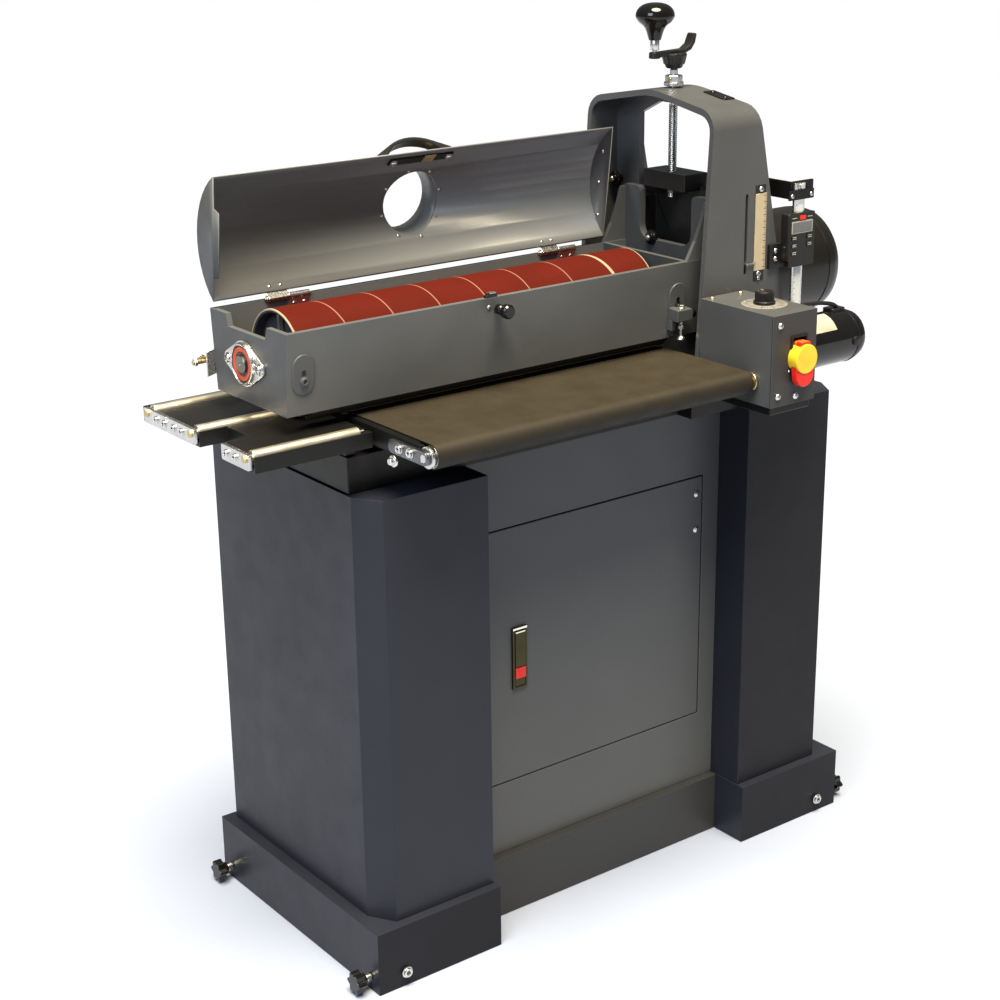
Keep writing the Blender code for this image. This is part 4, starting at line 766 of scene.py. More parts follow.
def spring_bracket():
    """The outfeed roller's plated carrier at the open end, behind the housing."""
    base = rear_wall(HEAD_END + 0.001, HOUSE_LOW.z + 0.042)
    arm = Piece("outfeed_left_carrier", "sanding_head", BRASS, ZINC)
    arm.prism([(-0.012, -0.016), (0.014, -0.022), (0.014, 0.014), (0.002, 0.017), (-0.012, 0.01)],
              base, Y, 0.003, 1, Z)
    arm.prism([(-0.026, -0.006), (0.002, -0.014), (0.004, 0.009), (-0.018, 0.015), (-0.028, 0.008)],
              base + Y * 0.003, Y, 0.0105, 1, Z)
    arm.done(0.001, 2)
    screws("outfeed_left_screws", "sanding_head", "hex",
           [base + Y * 0.014 - X * 0.014 + Z * 0.001, base + Y * 0.003 + X * 0.0005 - Z * 0.013], Y,
           0.0052, 0.0042, ring=0.0066)
    bolt = Piece("outfeed_left_stud", "sanding_head", BRASS, ZINC)
    bolt.lathe([(0.0, 0.0), (0.0034, 0.0), (0.0034, 0.03), (0.0, 0.03)], base - X * 0.032 + Y * 0.008, X,
               16, 0)
    hex_head(bolt, base - X * 0.026 + Y * 0.008, -X, 0.0056, 0.0044, 1, 0.2)
    bolt.done()


spring_bracket()


def wall_catch():
    """The keeper on the front wall that the hood's strike drops over, and its screw."""
    x = HEAD_END + 0.334
    keeper = Piece("hood_keeper", "sanding_head", ZINC, OXIDE)
    top = front_wall(x, HEAD_TOP) + Y * 0.004
    keeper.prism([(-0.011, 0.0), (0.009, 0.0), (0.009, 0.003), (0.003, 0.0055), (-0.011, 0.0055)],
                 top - Y * 0.003, Y, 0.006, 1, Z)
    keeper.prism([(-0.009, 0.0052), (0.002, 0.0052), (0.002, 0.0068), (-0.009, 0.0068)],
                 top - Y * 0.003, Y, 0.0075, 0, Z)
    keeper.done(0.0004)
    screws("keeper_screws", "sanding_head", "pan", [front_wall(x - 0.004, HEAD_TOP - 0.0135)],
           FRONT_NORMAL, 0.0034, 0.0022)


wall_catch()


def hinges():
    """Two lift-off hinges: knuckles on the pin line, a leaf on the wall and one on the hood."""
    for tag, left in (("left", HEAD_END + 0.084), ("right", HEAD_END + 0.572)):
        pin = Vector((0.0, HINGE_Y, HINGE_Z))
        fixed = Piece(tag + "_hinge_fixed", "sanding_head", ZINC, BRASS)
        fixed.lathe([(0.0042, left + 0.0355), (0.0047, left + 0.036), (0.0047, left + 0.0695),
                     (0.0042, left + 0.07), (0.0, left + 0.07)], pin, X, 20)
        fixed.lathe([(0.0, left - 0.003), (0.0018, left - 0.003), (0.0018, left + 0.073),
                     (0.0, left + 0.073)], pin, X, 14, 1)
        inner = rear_wall(0.0, HEAD_TOP - 0.01).y - 0.0086
        leaf_x, leaf_w = left + 0.053, 0.0165
        fixed.prism([(-leaf_w, -0.0195), (leaf_w, -0.0195), (leaf_w, 0.001), (-leaf_w, 0.001)],
                    (leaf_x, inner, HINGE_Z - 0.0005), -Y, 0.0012, 0, Z)
        fixed.prism([(-leaf_w, -0.0012), (leaf_w, -0.0012), (leaf_w, 0.0), (-leaf_w, 0.0)],
                    (leaf_x, inner - 0.0012, HINGE_Z + 0.0018), Y, HINGE_Y - inner + 0.002, 0, Z)
        fixed.done(0.0003)
        screws(tag + "_hinge_wall_screws", "sanding_head", "rivet",
               [(leaf_x + k, inner - 0.0012, HINGE_Z - 0.0115) for k in (-0.0085, 0.0085)], -Y, 0.003,
               0.0016)
        moving = Piece(tag + "_hinge_moving", "dust_hood", ZINC)
        moving.lathe([(0.0, left), (0.0042, left), (0.0047, left + 0.0005), (0.0047, left + 0.034),
                      (0.0042, left + 0.0345), (0.0, left + 0.0345)], pin, X, 20)
        moving.done()
        spots = [hood_inside(left + k, 0.0155)[0] for k in (0.0085, 0.0265)]
        screws(tag + "_hinge_hood_screws", "dust_hood", "rivet", spots, hood_inside(0, 0.0155)[1], 0.003,
               0.0018)
        leaf = Piece(tag + "_hinge_leaf", "dust_hood", ZINC)
        start, reach, count = 0.0045, 0.02, 6
        near, far = [[spot + away * -depth for spot, away in
                      (hood_inside(0.0, start + reach * k / count) for k in range(count + 1))]
                     for depth in (0.002, 0.0032)]
        outline = near + far[::-1]
        leaf.prism([(p.y, p.z) for p in outline], (left + 0.001, 0.0, 0.0), X, 0.0325, 0, Z)
        leaf.done(0.0003)


hinges()


def hood_fittings():
    """The handle's backing plate and strike, and the rivets of the dust port and the end cap."""
    strip_left, strip_right = HEAD_END + 0.293, HEAD_END + 0.404
    middle = (strip_left + strip_right) / 2
    spot, away = hood_inside(middle, 0.17)
    up = away.cross(X)
    if up.z < 0:
        up = -up
    strip = Piece("handle_plate", "dust_hood", BLACK, OXIDE)
    strip.prism(round_box((strip_right - strip_left) / 2, 0.0075, 0.002), spot - away * 0.0005, away, 0.003,
                0, tuple(up))
    strip.done(0.0005)
    screws("handle_screws", "dust_hood", "pan",
           [spot + X * k + away * 0.0025 for k in (-0.0485, 0.0485)], away, 0.005, 0.003, ring=0.006)
    strike = Piece("hood_strike", "dust_hood", BRASS)
    strike_spot = spot + X * 0.012 + away * 0.0024
    path = [(0.0, 0.01), (0.0, -0.006), (0.0035, -0.0105), (0.0095, -0.013), (0.011, -0.0175),
            (0.0095, -0.023)]
    inner = [(a - 0.0014, b - 0.0004) for a, b in path]
    strike.prism(path + inner[::-1], strike_spot - X * 0.01, X, 0.02, 0, tuple(up))
    strike.done(0.0003)
    piece = Piece("port_rivets", "dust_hood", ZINC)
    rivets, rivet_circle = 8, 0.0525
    for k in range(rivets):
        turn = 2 * math.pi * (k + 0.35) / rivets
        at, out = hood_inside(PORT_X + rivet_circle * math.cos(turn),
                              HOOD_MIDDLE + rivet_circle * math.sin(turn))
        piece.lathe([(0.0026, -0.0004), (0.0024, 0.0008), (0.0014, 0.0014), (0.0, 0.0014)], at, out, 16)
        piece.lathe([(0.0032, -0.0004), (0.003, 0.001), (0.0018, 0.0018), (0.0, 0.0018)], at - out * 0.002,
                    -out, 16)
    piece.done()
    ends = Piece("hood_end_screws", "dust_hood", ZINC, OXIDE)
    high_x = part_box("hood")[1].x
    for u, w in ((0.04, 0.018), (0.092, 0.022), (0.142, 0.018)):
        pan_head(ends, hood_point(high_x - 0.002, u, w), -X, 0.0036, 0.0022)
    ends.done()


hood_fittings()


# ------------------------------------------------------------------ column fittings
def column_fittings():
    """The scale's backing, the readout's screws and the blank plate on the crown."""
    face = COLUMN_LOW.y
    low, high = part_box("scale_plate")
    tabs = Piece("scale_backing", "stand", OXIDE)
    x = (low.x + high.x) / 2
    for z0, z1 in ((high.z - 0.004, high.z + 0.013), (low.z - 0.016, low.z + 0.004)):
        tabs.prism(round_box(0.0105, (z1 - z0) / 2, 0.001), (x - 0.001, face + 0.0004, (z0 + z1) / 2), -Y,
                   0.0012, 0, Z)
    tabs.done(0.0002)
    screws("scale_screws", "stand", "pan",
           [(x, face - 0.0008, high.z + 0.0065), (x - 0.001, face - 0.0008, low.z - 0.0055)], -Y,
           0.0044, 0.0026)
    screws("scale_lower_screw", "stand", "socket", [(x - 0.002, face - 0.0006, low.z - 0.0125)], -Y, 0.0028,
           0.0018)
    readout_low, readout_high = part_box("depth_readout")
    screws("readout_screws", "stand", "pan",
           [(readout_low.x + 0.013, readout_high.y - 0.0048, readout_low.z + rise)
            for rise in (0.0275, 0.015)], -Y, 0.004, 0.0024)
    plate = Piece("crown_plate", "stand", OXIDE, ZINC)
    slope = math.atan2(0.024, 0.145)
    normal = Vector((0.0, -math.sin(slope), math.cos(slope)))
    back = 0.069
    at = Vector((centre("lead_screw").x + 0.03, AXIS.y - back,
                 COLUMN_HIGH.z + 0.0021 - back * math.tan(slope)))
    plate.prism(round_box(0.0115, 0.024, 0.002), at, normal, 0.0018, 0, (0.0, 1.0, 0.2))
    plate.done(0.0005)
    screws("crown_plate_screws", "stand", "socket", [at + normal * 0.0016 + Vector((0, k, k * 0.19))
                                                     for k in (-0.014, 0.014)], normal, 0.0034, 0.0016, OXIDE)


column_fittings()


def collar_fittings():
    """The thrust nut under the crank and the lead screw's thread."""
    low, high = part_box("screw_collar")
    middle = (low + high) / 2
    foot = Vector((middle.x, middle.y, low.z))
    nut = Piece("collar_nut", "stand", ZINC, BRASS)
    nut.ring([(0.0152, 0.0), (0.0152, 0.005), (0.0146, 0.0058), (0.008, 0.0058), (0.008, 0.0)], foot, Z,
             36)
    nut.lathe([(0.0135, 0.0055), (0.0135, 0.0145), (0.0122, 0.016), (0.0078, 0.016)], foot, Z, 6, 0, None,
              0.3)
    nut.lathe([(0.0, 0.0), (0.0034, 0.0), (0.0034, 0.0016), (0.0, 0.0016)],
              foot + Vector((-0.012, -0.004, 0.0095)), Vector((-1.0, -0.35, 0.0)), 16, 1)
    nut.done(0.0004, replaces=("screw_collar",))
    screw_low, screw_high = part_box("lead_screw")
    radius, pitch, depth, sides, rows_a_turn = 0.007, 0.003, 0.0009, 20, 10
    thread = Piece("screw_thread", "height_crank", ZINC)
    start, stop = screw_low.z, COLUMN_HIGH.z - 0.026
    neck = 1.26
    rows = int((stop - start) / pitch * rows_a_turn)
    loops = []
    for k in range(rows + 1):
        z = start + (stop - start) * k / rows
        loop = []
        for i in range(sides):
            angle = 2 * math.pi * i / sides
            phase = ((z - start) / pitch - i / sides) % 1.0
            r = radius - depth * abs(2 * phase - 1)
            loop.append(thread.bm.verts.new((middle.x + r * math.cos(angle), middle.y + r * math.sin(angle),
                                             z)))
        loops.append(loop)
    thread.skin(loops)
    foot = Vector((middle.x, middle.y, 0.0))
    thread.lathe([(0.006, stop - 0.001), (0.0062, stop), (0.0062, neck), (0.0045, neck + 0.002),
                  (0.0045, screw_high.z), (0.0, screw_high.z)], foot, Z, 24)
    thread.done(replaces=("lead_screw",))


collar_fittings()


def crank():
    """The height crank: a lobed hub, a flat arm with an upturned tail, and a ball-topped handle."""
    pivot, grip = centre("lead_screw"), centre("crank_knob")
    low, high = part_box("crank_arm")
    hub_low, seat = low.z, high.z - 0.024
    arm = Piece("crank_casting", "height_crank", BLACK_CAST, ZINC)
    lobes, flute, fluted_above = 10, 0.055, 0.0062
    loops = []
    for height, radius in ((0.0, 0.0105), (0.0015, 0.0128), (0.006, 0.0145), (0.0065, 0.0165),
                           (0.017, 0.019), (0.0205, 0.0195), (0.023, 0.0185)):
        loop = []
        cut = flute if height > fluted_above else 0.0
        for k in range(lobes * 6):
            angle = 2 * math.pi * k / (lobes * 6)
            reach = radius * (1.0 - cut * max(0.0, math.cos(lobes * angle)) ** 2)
            loop.append(arm.bm.verts.new((pivot.x + reach * math.cos(angle),
                                          pivot.y + reach * math.sin(angle), hub_low + height)))
        loops.append(loop)
    arm.skin(loops)
    reach = pivot.x - grip.x
    side = [(-reach, seat - 0.008), (0.012, seat - 0.006), (0.028, seat + 0.0), (0.0355, seat + 0.01),
            (0.0385, high.z - 0.002), (0.0365, high.z), (0.033, high.z - 0.0015), (0.027, seat + 0.0085),
            (0.016, seat + 0.0015), (-reach, seat - 0.0005)]
    arm.prism([(a, b - seat) for a, b in side], (pivot.x, pivot.y + 0.008, seat), -Y, 0.016, 0, Z)
    arm.lathe([(0.008, 0.0), (0.0088, 0.001), (0.0085, 0.0085), (0.007, 0.0095), (0.0, 0.0095)],
              (grip.x, grip.y, seat - 0.0095), Z, 28)
    arm.done(0.001, 3, 40.0, replaces=("crank_arm",))
    knob_low, knob_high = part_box("crank_knob")
    radius = (knob_high.x - knob_low.x) / 2
    foot = Vector((grip.x, grip.y, knob_high.z))
    ball = Piece("crank_handle", "crank_grip", GLOSS, ZINC)
    head = [(radius * math.sin(math.radians(a)) ** 0.8, -0.019 + 0.019 * math.cos(math.radians(a)))
            for a in range(0, 100, 9)]
    stem = [(radius * 0.95, -0.024), (radius * 0.84, -0.0285), (radius * 0.66, -0.0325),
            (radius * 0.52, -0.037), (radius * 0.43, -0.043), (radius * 0.36, -0.05),
            (radius * 0.31, -0.055), (0.0, -0.055)]
    ball.lathe(head + stem, foot, Z, 64)
    ball.lathe([(0.0064, -0.0548), (0.0068, -0.0555), (0.0068, -0.069), (0.0064, -0.0697), (0.0036, -0.0697),
                (0.0036, knob_low.z - knob_high.z), (0.0, knob_low.z - knob_high.z)], foot, Z, 32, 1)
    ball.done(replaces=("crank_knob",))


crank()


def lock_knobs():
    """Black screws with bright ends: one in the column's plate and one in the motor mount."""
    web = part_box("motor_mount")[0].x
    for name, body, dx, dy, dz, stem in (("upper_lock_knob", "stand", 0.013, 0.1255, 0.1507, 0.009),
                                         ("lower_lock_knob", "sanding_head", 0.0, 0.022, 0.0725, 0.0)):
        foot = Vector((web + dx, AXIS.y + dy, AXIS.z + dz))
        knob = Piece(name, body, GLOSS, ZINC)
        knob.lathe([(0.005, -stem), (0.005, 0.0), (0.0105, 0.0), (0.0118, 0.0012), (0.0118, 0.006),
                    (0.0108, 0.007), (0.0075, 0.0072), (0.007, 0.011), (0.0, 0.011)], foot, -X, 32)
        knob.lathe([(0.005, 0.007), (0.005, 0.012), (0.0036, 0.0135), (0.0, 0.014)], foot, -X, 24, 1)
        knob.done()


lock_knobs()


# ------------------------------------------------------------------ digital readout
def readout():
    """The readout's bezel, screen and keys, the rule on its beam and the clamp at the beam's top."""
    low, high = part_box("depth_readout")
    bottom, top, width = low.z, high.z, 0.058
    x, face = high.x - width / 2, low.y - 0.0004
    head = Piece("readout_face", "stand", SATIN, SCREEN, RED, LABEL)
    middle = (x, low.y + 0.0004, (top + bottom) / 2)
    head.prism(round_box(width / 2 - 0.0016, (top - bottom) / 2 - 0.0016, 0.003), middle, -Y, 0.001, 0, Z)
    lcd = (x, face, top - 0.0215)
    head.prism(round_box(0.0225, 0.0095, 0.001), lcd, -Y, 0.0005, 3, Z)
    head.prism(round_box(0.0205, 0.0078, 0.0006), lcd, -Y, 0.0008, 1, Z)
    key_spread, red_key_z = 0.0165, top - 0.0068
    for dx in (-key_spread, key_spread):
        head.prism(round_box(0.0052, 0.0006, 0.0003, 2), (x + dx, face, red_key_z), -Y, 0.0004, 3, Z)
    head.prism(round_box(0.0062, 0.003, 0.0012), (x, face, red_key_z), -Y, 0.0014, 2, Z)
    head.done(0.0003)
    keys = Piece("readout_keys", "stand", GLOSS, LABEL)
    for dx, rows in ((-key_spread, 3), (key_spread, 2)):
        for row in range(rows):
            z = top - 0.0375 - row * 0.0118
            keys.prism(round_box(0.006, 0.004, 0.0016), (x + dx, face, z), -Y, 0.0013, 0, Z)
            for line in (0.0014, -0.0012):
                keys.prism(round_box(0.0038, 0.0006, 0.0003, 2), (x + dx, face - 0.0011, z + line), -Y,
                           0.0004, 1, Z)
    keys.done(0.0002)
    x = (BEAM_LOW.x + BEAM_HIGH.x) / 2
    ticks = Piece("beam_rule", "sanding_head", GRADUATED)
    ticks.prism([(-0.0078, 0.0), (0.0078, 0.0), (0.0078, 0.195), (-0.0078, 0.195)],
                (x, BEAM_LOW.y + 0.0002, BEAM_LOW.z + 0.004), -Y, 0.0003, 0, Z)
    ticks.done()
    clamp_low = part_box("readout_arm")[0].z
    clamp_x, clamp_y = x + 0.001, BEAM_LOW.y - 0.0002
    clamp = Piece("beam_clamp", "sanding_head", BLACK)
    clamp.prism(round_box(0.0265, 0.0075, 0.001), (clamp_x, clamp_y, clamp_low + 0.0075), -Y, 0.003, 0, Z)
    clamp.done(0.0004)
    screws("beam_clamp_screws", "sanding_head", "pan",
           [(clamp_x + k, clamp_y - 0.0029, clamp_low + 0.0065) for k in (-0.0205, 0.0205)], -Y, 0.0034,
           0.0022)
    screws("beam_arm_screw", "sanding_head", "hex", [(clamp_x, clamp_y, clamp_low + 0.02)], -Y, 0.0046,
           0.0032, ring=0.0058)


BEAM_LOW, BEAM_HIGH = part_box("readout_beam")
GRADUATED = graduated("beam_scale", (0.6, 0.63, 0.65), (0.1, 0.1, 0.11), 2, 0.0, 0.002, 5.0, 0.2, 0,
                      (BEAM_LOW.x, BEAM_HIGH.x))
readout()


def depth_scale():
    """The cream scale's face with its ticks."""
    low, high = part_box("scale_plate")
    face = Piece("scale_face", "stand", graduated(
        "depth_scale", (0.42, 0.35, 0.24), (0.05, 0.04, 0.03), 2, 0.0, 0.0025, 4.0, 0.16, 0,
        (high.x - 0.001, low.x + 0.001)), OXIDE)
    face.prism(round_box((high.x - low.x) / 2 - 0.0003, (high.z - low.z) / 2 - 0.0003, 0.0008),
               ((low.x + high.x) / 2, low.y + 0.0004, (low.z + high.z) / 2), -Y, 0.0007, 0, Z)
    face.done()


depth_scale()


# ------------------------------------------------------------------ control box
def control_box():
    """The box's screws and seam, the dial plate, and the speed knob's knurling and pointer."""
    low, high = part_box("control_box")
    front = low.y
    screws("box_front_screws", "stand", "pan",
           [(low.x + 0.0135, front, high.z - 0.015), (low.x + 0.013, front, low.z + 0.0165),
            (low.x + 0.0495, front, low.z + 0.012)], -Y, 0.0046, 0.0028, ring=0.0052)
    screws("box_small_screw", "stand", "pan", [(low.x + 0.0345, front, low.z + 0.0515)], -Y, 0.0022, 0.0014)
    screws("box_top_screws", "stand", "pan",
           [(low.x + 0.0155, high.y - 0.0085, high.z), (high.x - 0.015, high.y - 0.008, high.z)], Z, 0.004,
           0.0024, BRASS)
    knob = centre("speed_knob")
    dial = Piece("speed_dial", "stand", dial_print(knob.x, knob.y), OXIDE)
    dial.lathe([(0.0, 0.0), (0.0345, 0.0), (0.0345, 0.0006), (0.0342, 0.0008), (0.004, 0.0008)],
               (knob.x, knob.y, high.z + 0.0001), Z, 64)
    dial.done()
    _, knob_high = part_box("speed_knob")
    mark = Piece("speed_knob_pointer", "speed_control", LABEL)
    mark.prism([(-0.0005, 0.003), (0.0005, 0.003), (0.0005, 0.012), (-0.0005, 0.012)],
               (knob.x, knob.y, knob_high.z - 0.0001), Z, 0.0003, 0, (0.3, 1.0, 0.0))
    mark.done()
    grip = Piece("speed_knob_grip", "speed_control", SATIN)
    outline, steps = [], 144
    for k in range(steps):
        angle = 2 * math.pi * k / steps
        r = 0.0144 if k % 4 < 2 else 0.0138
        outline.append((r * math.cos(angle), r * math.sin(angle)))
    grip.prism(outline, (knob.x, knob.y, high.z + 0.0062), Z, 0.0118, 0, Y)
    grip.done(0.0001)
    seam = Piece("box_cover_seam", "stand", OXIDE)
    seam.block((low.x - 0.0002, front + 0.0022, low.z + 0.001),
               (low.x + 0.0002, front + 0.0029, high.z - 0.001))
    seam.done()


def dial_print(x, y):
    """A dial plate with radial ticks round its rim."""
    s = Shader("dial_plate", 0.42, 0.0, 0.1, 0.15)
    px, py, _ = s.axes()
    dx, dy = s.math("SUBTRACT", px, x), s.math("SUBTRACT", py, y)
    radius = s.math("SQRT", s.math("ADD", s.math("MULTIPLY", dx, dx), s.math("MULTIPLY", dy, dy)))
    turn = s.math("DIVIDE", s.math("ARCTAN2", dy, dx), 2 * math.pi)
    tick = s.math("LESS_THAN", s.math("FRACT", s.math("ADD", s.math("MULTIPLY", turn, 40.0), 40.0)), 0.22)
    ring = s.math("MULTIPLY", s.math("GREATER_THAN", radius, 0.0245), s.math("LESS_THAN", radius, 0.0285))
    long = s.math("LESS_THAN", s.math("FRACT", s.math("ADD", s.math("MULTIPLY", turn, 10.0), 10.0)), 0.1)
    wide = s.math("MULTIPLY", s.math("GREATER_THAN", radius, 0.0215), s.math("LESS_THAN", radius, 0.031))
    ink = s.math("MAXIMUM", s.math("MULTIPLY", tick, ring), s.math("MULTIPLY", long, wide))
    base = s.ramp(s.noise(40.0, 4.0), (0.3, (0.155, 0.15, 0.14)), (0.7, (0.18, 0.172, 0.165)))
    s.colour(s.mix(ink, base, (0.02, 0.019, 0.018)))
    s.bump(s.noise(600.0, 2.0), 0.00004, 0.3)
    return s.material


control_box()


def stop_switch():
    """The paddle's yellow disc, orange tongue and red hub, in the switch's frame."""
    low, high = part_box("switch_paddle")
    x = (low.x + high.x) / 2
    disc_z, depth = low.z + 0.0427, high.y - low.y
    yellow = Piece("stop_disc", "stop_paddle", YELLOW)
    yellow.lathe([(0.0, 0.0), (0.0212, 0.0), (0.0219, 0.0008), (0.0219, depth + 0.0022),
                  (0.0208, depth + 0.0032), (0.0, depth + 0.0036)], (x, high.y - 0.0001, disc_z), -Y, 56)
    yellow.done()
    orange = Piece("stop_tongue", "stop_paddle", ORANGE)
    orange.prism(round_box(0.0096, 0.0095, 0.003), (x, high.y - 0.0002, high.z - 0.0092), -Y,
                 depth - 0.0015, 0, Z)
    orange.done(0.001, 3)
    hub = Piece("stop_hub", "stop_paddle", RED)
    hub.lathe([(0.0, 0.0), (0.0165, 0.0), (0.017, 0.0006), (0.016, 0.0016), (0.0, 0.002)],
              (x, low.y + 0.0002, low.z + 0.018), -Y, 48)
    hub.done()
    bezel = Piece("switch_bezel", "stand", SATIN)
    body_low, body_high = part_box("switch_body")
    box_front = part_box("control_box")[0].y
    half = (body_high.x - body_low.x) / 2 + 0.0012
    tall = (body_high.z - body_low.z) / 2 + 0.0012
    outer = round_box(half, tall, 0.002)
    opening = [(a * 0.84, b * 0.9) for a, b in outer]
    rim = Vector(((body_low.x + body_high.x) / 2, box_front - 0.0001, (body_low.z + body_high.z) / 2))
    u, v, w = frame_of(-Y, Z)
    loops = [[bezel.bm.verts.new(rim + u * a + v * b + w * rise) for a, b in edge]
             for edge, rise in ((outer, 0.0), (outer, 0.0019), (opening, 0.0023), (opening, 0.0))]
    bezel.skin(loops + loops[:1], 0, False)
    bezel.done()


stop_switch()


# ------------------------------------------------------------------ motors
def feed_drive():
    """The feed motor's blank label, bands, screws, brush caps and cable gland."""
    low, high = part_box("feed_motor")
    axis = Vector((0.0, (low.y + high.y) / 2, (low.z + high.z) / 2))
    radius = (high.z - low.z) / 2
    left, right = low.x, high.x
    label = Piece("feed_motor_label", "stand", LABEL)
    rows = []
    for r in (radius + 0.0002, radius + 0.0006):
        rows.append([(axis.y - r * math.sin(a), axis.z + r * math.cos(a))
                     for a in (math.radians(8 + 50 * k / 12) for k in range(13))])
    label.prism(rows[0] + rows[1][::-1], (left + 0.024, 0.0, 0.0), X, 0.048, 0, Z)
    label.done()
    seams = Piece("feed_motor_bands", "stand", BLACK, ZINC)
    for at in (left + 0.018, right - 0.027):
        seams.ring([(radius - 0.001, at), (radius + 0.0006, at + 0.0004), (radius + 0.0006, at + 0.003),
                    (radius - 0.001, at + 0.0034)], axis, X, 56, 0)
    for k in range(4):
        turn = math.radians(45 + 90 * k)
        spot = axis + Vector((right - 0.0045, 0.028 * math.cos(turn), 0.028 * math.sin(turn)))
        hex_head(seams, spot, X, 0.0042, 0.0034, 1)
    seams.done(0.0003)
    gland = Piece("feed_motor_gland", "stand", SATIN)
    cable_low, cable_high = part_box("feed_motor_cable")
    at = Vector((cable_high.x - 0.002, (cable_low.y + cable_high.y) / 2, axis.z + radius - 0.004))
    gland.prism(round_box(0.014, 0.011, 0.003), at, Z, 0.0075, 0, Y)
    gland.done(0.0012, 3)
    brush = Piece("feed_motor_brush_cap", "stand", SATIN, OXIDE)
    for sign in (-1, 1):
        spot = axis + Vector((right - 0.032, sign * (radius - 0.001), 0.0))
        brush.lathe([(0.0072, 0.0), (0.0072, 0.003), (0.0064, 0.0036), (0.0, 0.0036)], spot, Y * sign, 24)
    brush.done()


feed_drive()


def main_motor():
    """The drum motor's shell, with its end bolts and vents, the vents drawn as flat dark patches: painted
    shade in their openings.
    """
    low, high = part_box("drum_motor")
    axis = Vector((0.0, (low.y + high.y) / 2, (low.z + high.z) / 2))
    radius = (high.z - low.z) / 2
    shell = Piece("drum_motor_shell", "sanding_head", MOTOR, ZINC)
    left, right = low.x, high.x
    shell.lathe([(0.07, left), (0.07, left + 0.018), (radius - 0.006, left + 0.021), (radius, left + 0.026),
                 (radius, right - 0.045), (radius - 0.0012, right - 0.044), (radius - 0.0012, right - 0.042),
                 (radius, right - 0.041), (radius - 0.0008, right - 0.03), (radius - 0.004, right - 0.018),
                 (radius - 0.013, right - 0.008), (radius - 0.028, right - 0.002), (0.05, right),
                 (0.016, right), (0.015, right - 0.0015), (0.0, right - 0.0015)], axis, X, 96)
    shell.done(replaces=("drum_motor",), sharp=30.0)
    bolts = Piece("drum_motor_bolts", "sanding_head", ZINC)
    for k in range(4):
        turn = math.radians(45 + 90 * k)
        spot = axis + Vector((right - 0.0022, 0.062 * math.cos(turn), 0.062 * math.sin(turn)))
        hex_head(bolts, spot, X, 0.0048, 0.002)
    bolts.done()
    # painted shade: each vent is a flat dark patch standing for an opening
    vents = Piece("drum_motor_vents", "sanding_head", OXIDE)
    for k in range(10):
        turn = 2 * math.pi * k / 10
        out = Vector((0.0, math.cos(turn), math.sin(turn)))
        vents.prism([(-0.0022, -0.01), (0.0022, -0.01), (0.0022, 0.01), (-0.0022, 0.01)],
                    axis + X * (right - 0.0004) + out * 0.034, X, 0.0003, 0, tuple(out))
    vents.done()


main_motor()


# ------------------------------------------------------------------ conveyor and table fittings
def table_fittings():
    """The brackets' bolts, the take-ups' bolts and wing screws, and the rollers' bush and collars."""
    for place, step in (("front", 1), ("middle", 1), ("rear", -1)):
        low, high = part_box(place + "_idler_bracket")
        axle = centre(place + "_idler_roller")
        spots = [(low.x, axle.y + step * k, (low.z + high.z) / 2) for k in (0.0265, 0.0495)]
        screws(place + "_bracket_screws", "stand", "socket", spots, -X, 0.0052, 0.0028)
        screws(place + "_bracket_axle_nut", "stand", "hex", [(low.x, axle.y, axle.z - 0.001)], -X, 0.0056,
               0.003, BRASS)
    for place, sign in (("front", 1), ("rear", -1)):
        low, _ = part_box(place + "_takeup")
        roller = centre("drive_roller" if place == "front" else "tail_roller")
        spots = [(low.x, roller.y + sign * k, roller.z + 0.0012) for k in (0.027, 0.052)]
        screws(place + "_takeup_screws", "stand", "socket", spots, -X, 0.0058, 0.0034, ring=0.0068)
        wing = Piece(place + "_tracking_screw", "stand", ZINC, OXIDE)
        at = Vector((low.x + 0.0025, roller.y + sign * 0.069, roller.z - 0.02))
        wing.lathe([(0.008, 0.0), (0.0086, 0.0008), (0.0086, 0.003), (0.007, 0.004), (0.0, 0.004)],
                   at, -X, 24)
        wing.lathe([(0.0052, 0.0035), (0.0052, 0.0085), (0.0044, 0.0092), (0.0, 0.0092)], at, -X, 6)
        wing.done(0.0003)
    bush = Piece("drive_roller_bush", "stand", BRASS)
    box_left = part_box("control_box")[0].x
    roller = centre("drive_roller")
    bush.ring([(0.0125, 0.0), (0.0135, 0.001), (0.0135, 0.004), (0.0125, 0.0048), (0.008, 0.0048),
               (0.008, 0.0)], (box_left, roller.y, roller.z), -X, 36)
    bush.done(0.0003)
    collar = Piece("drive_roller_collar", "stand", ZINC)
    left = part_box("front_takeup")[1].x
    for place in ("drive_roller", "tail_roller"):
        spot = centre(place)
        collar.ring([(0.013, 0.0), (0.015, 0.0008), (0.015, 0.004), (0.013, 0.0046), (0.0068, 0.0046),
                     (0.0068, 0.0)], (left + 0.0005, spot.y, spot.z), X, 36)
    collar.done(0.0003)


table_fittings()


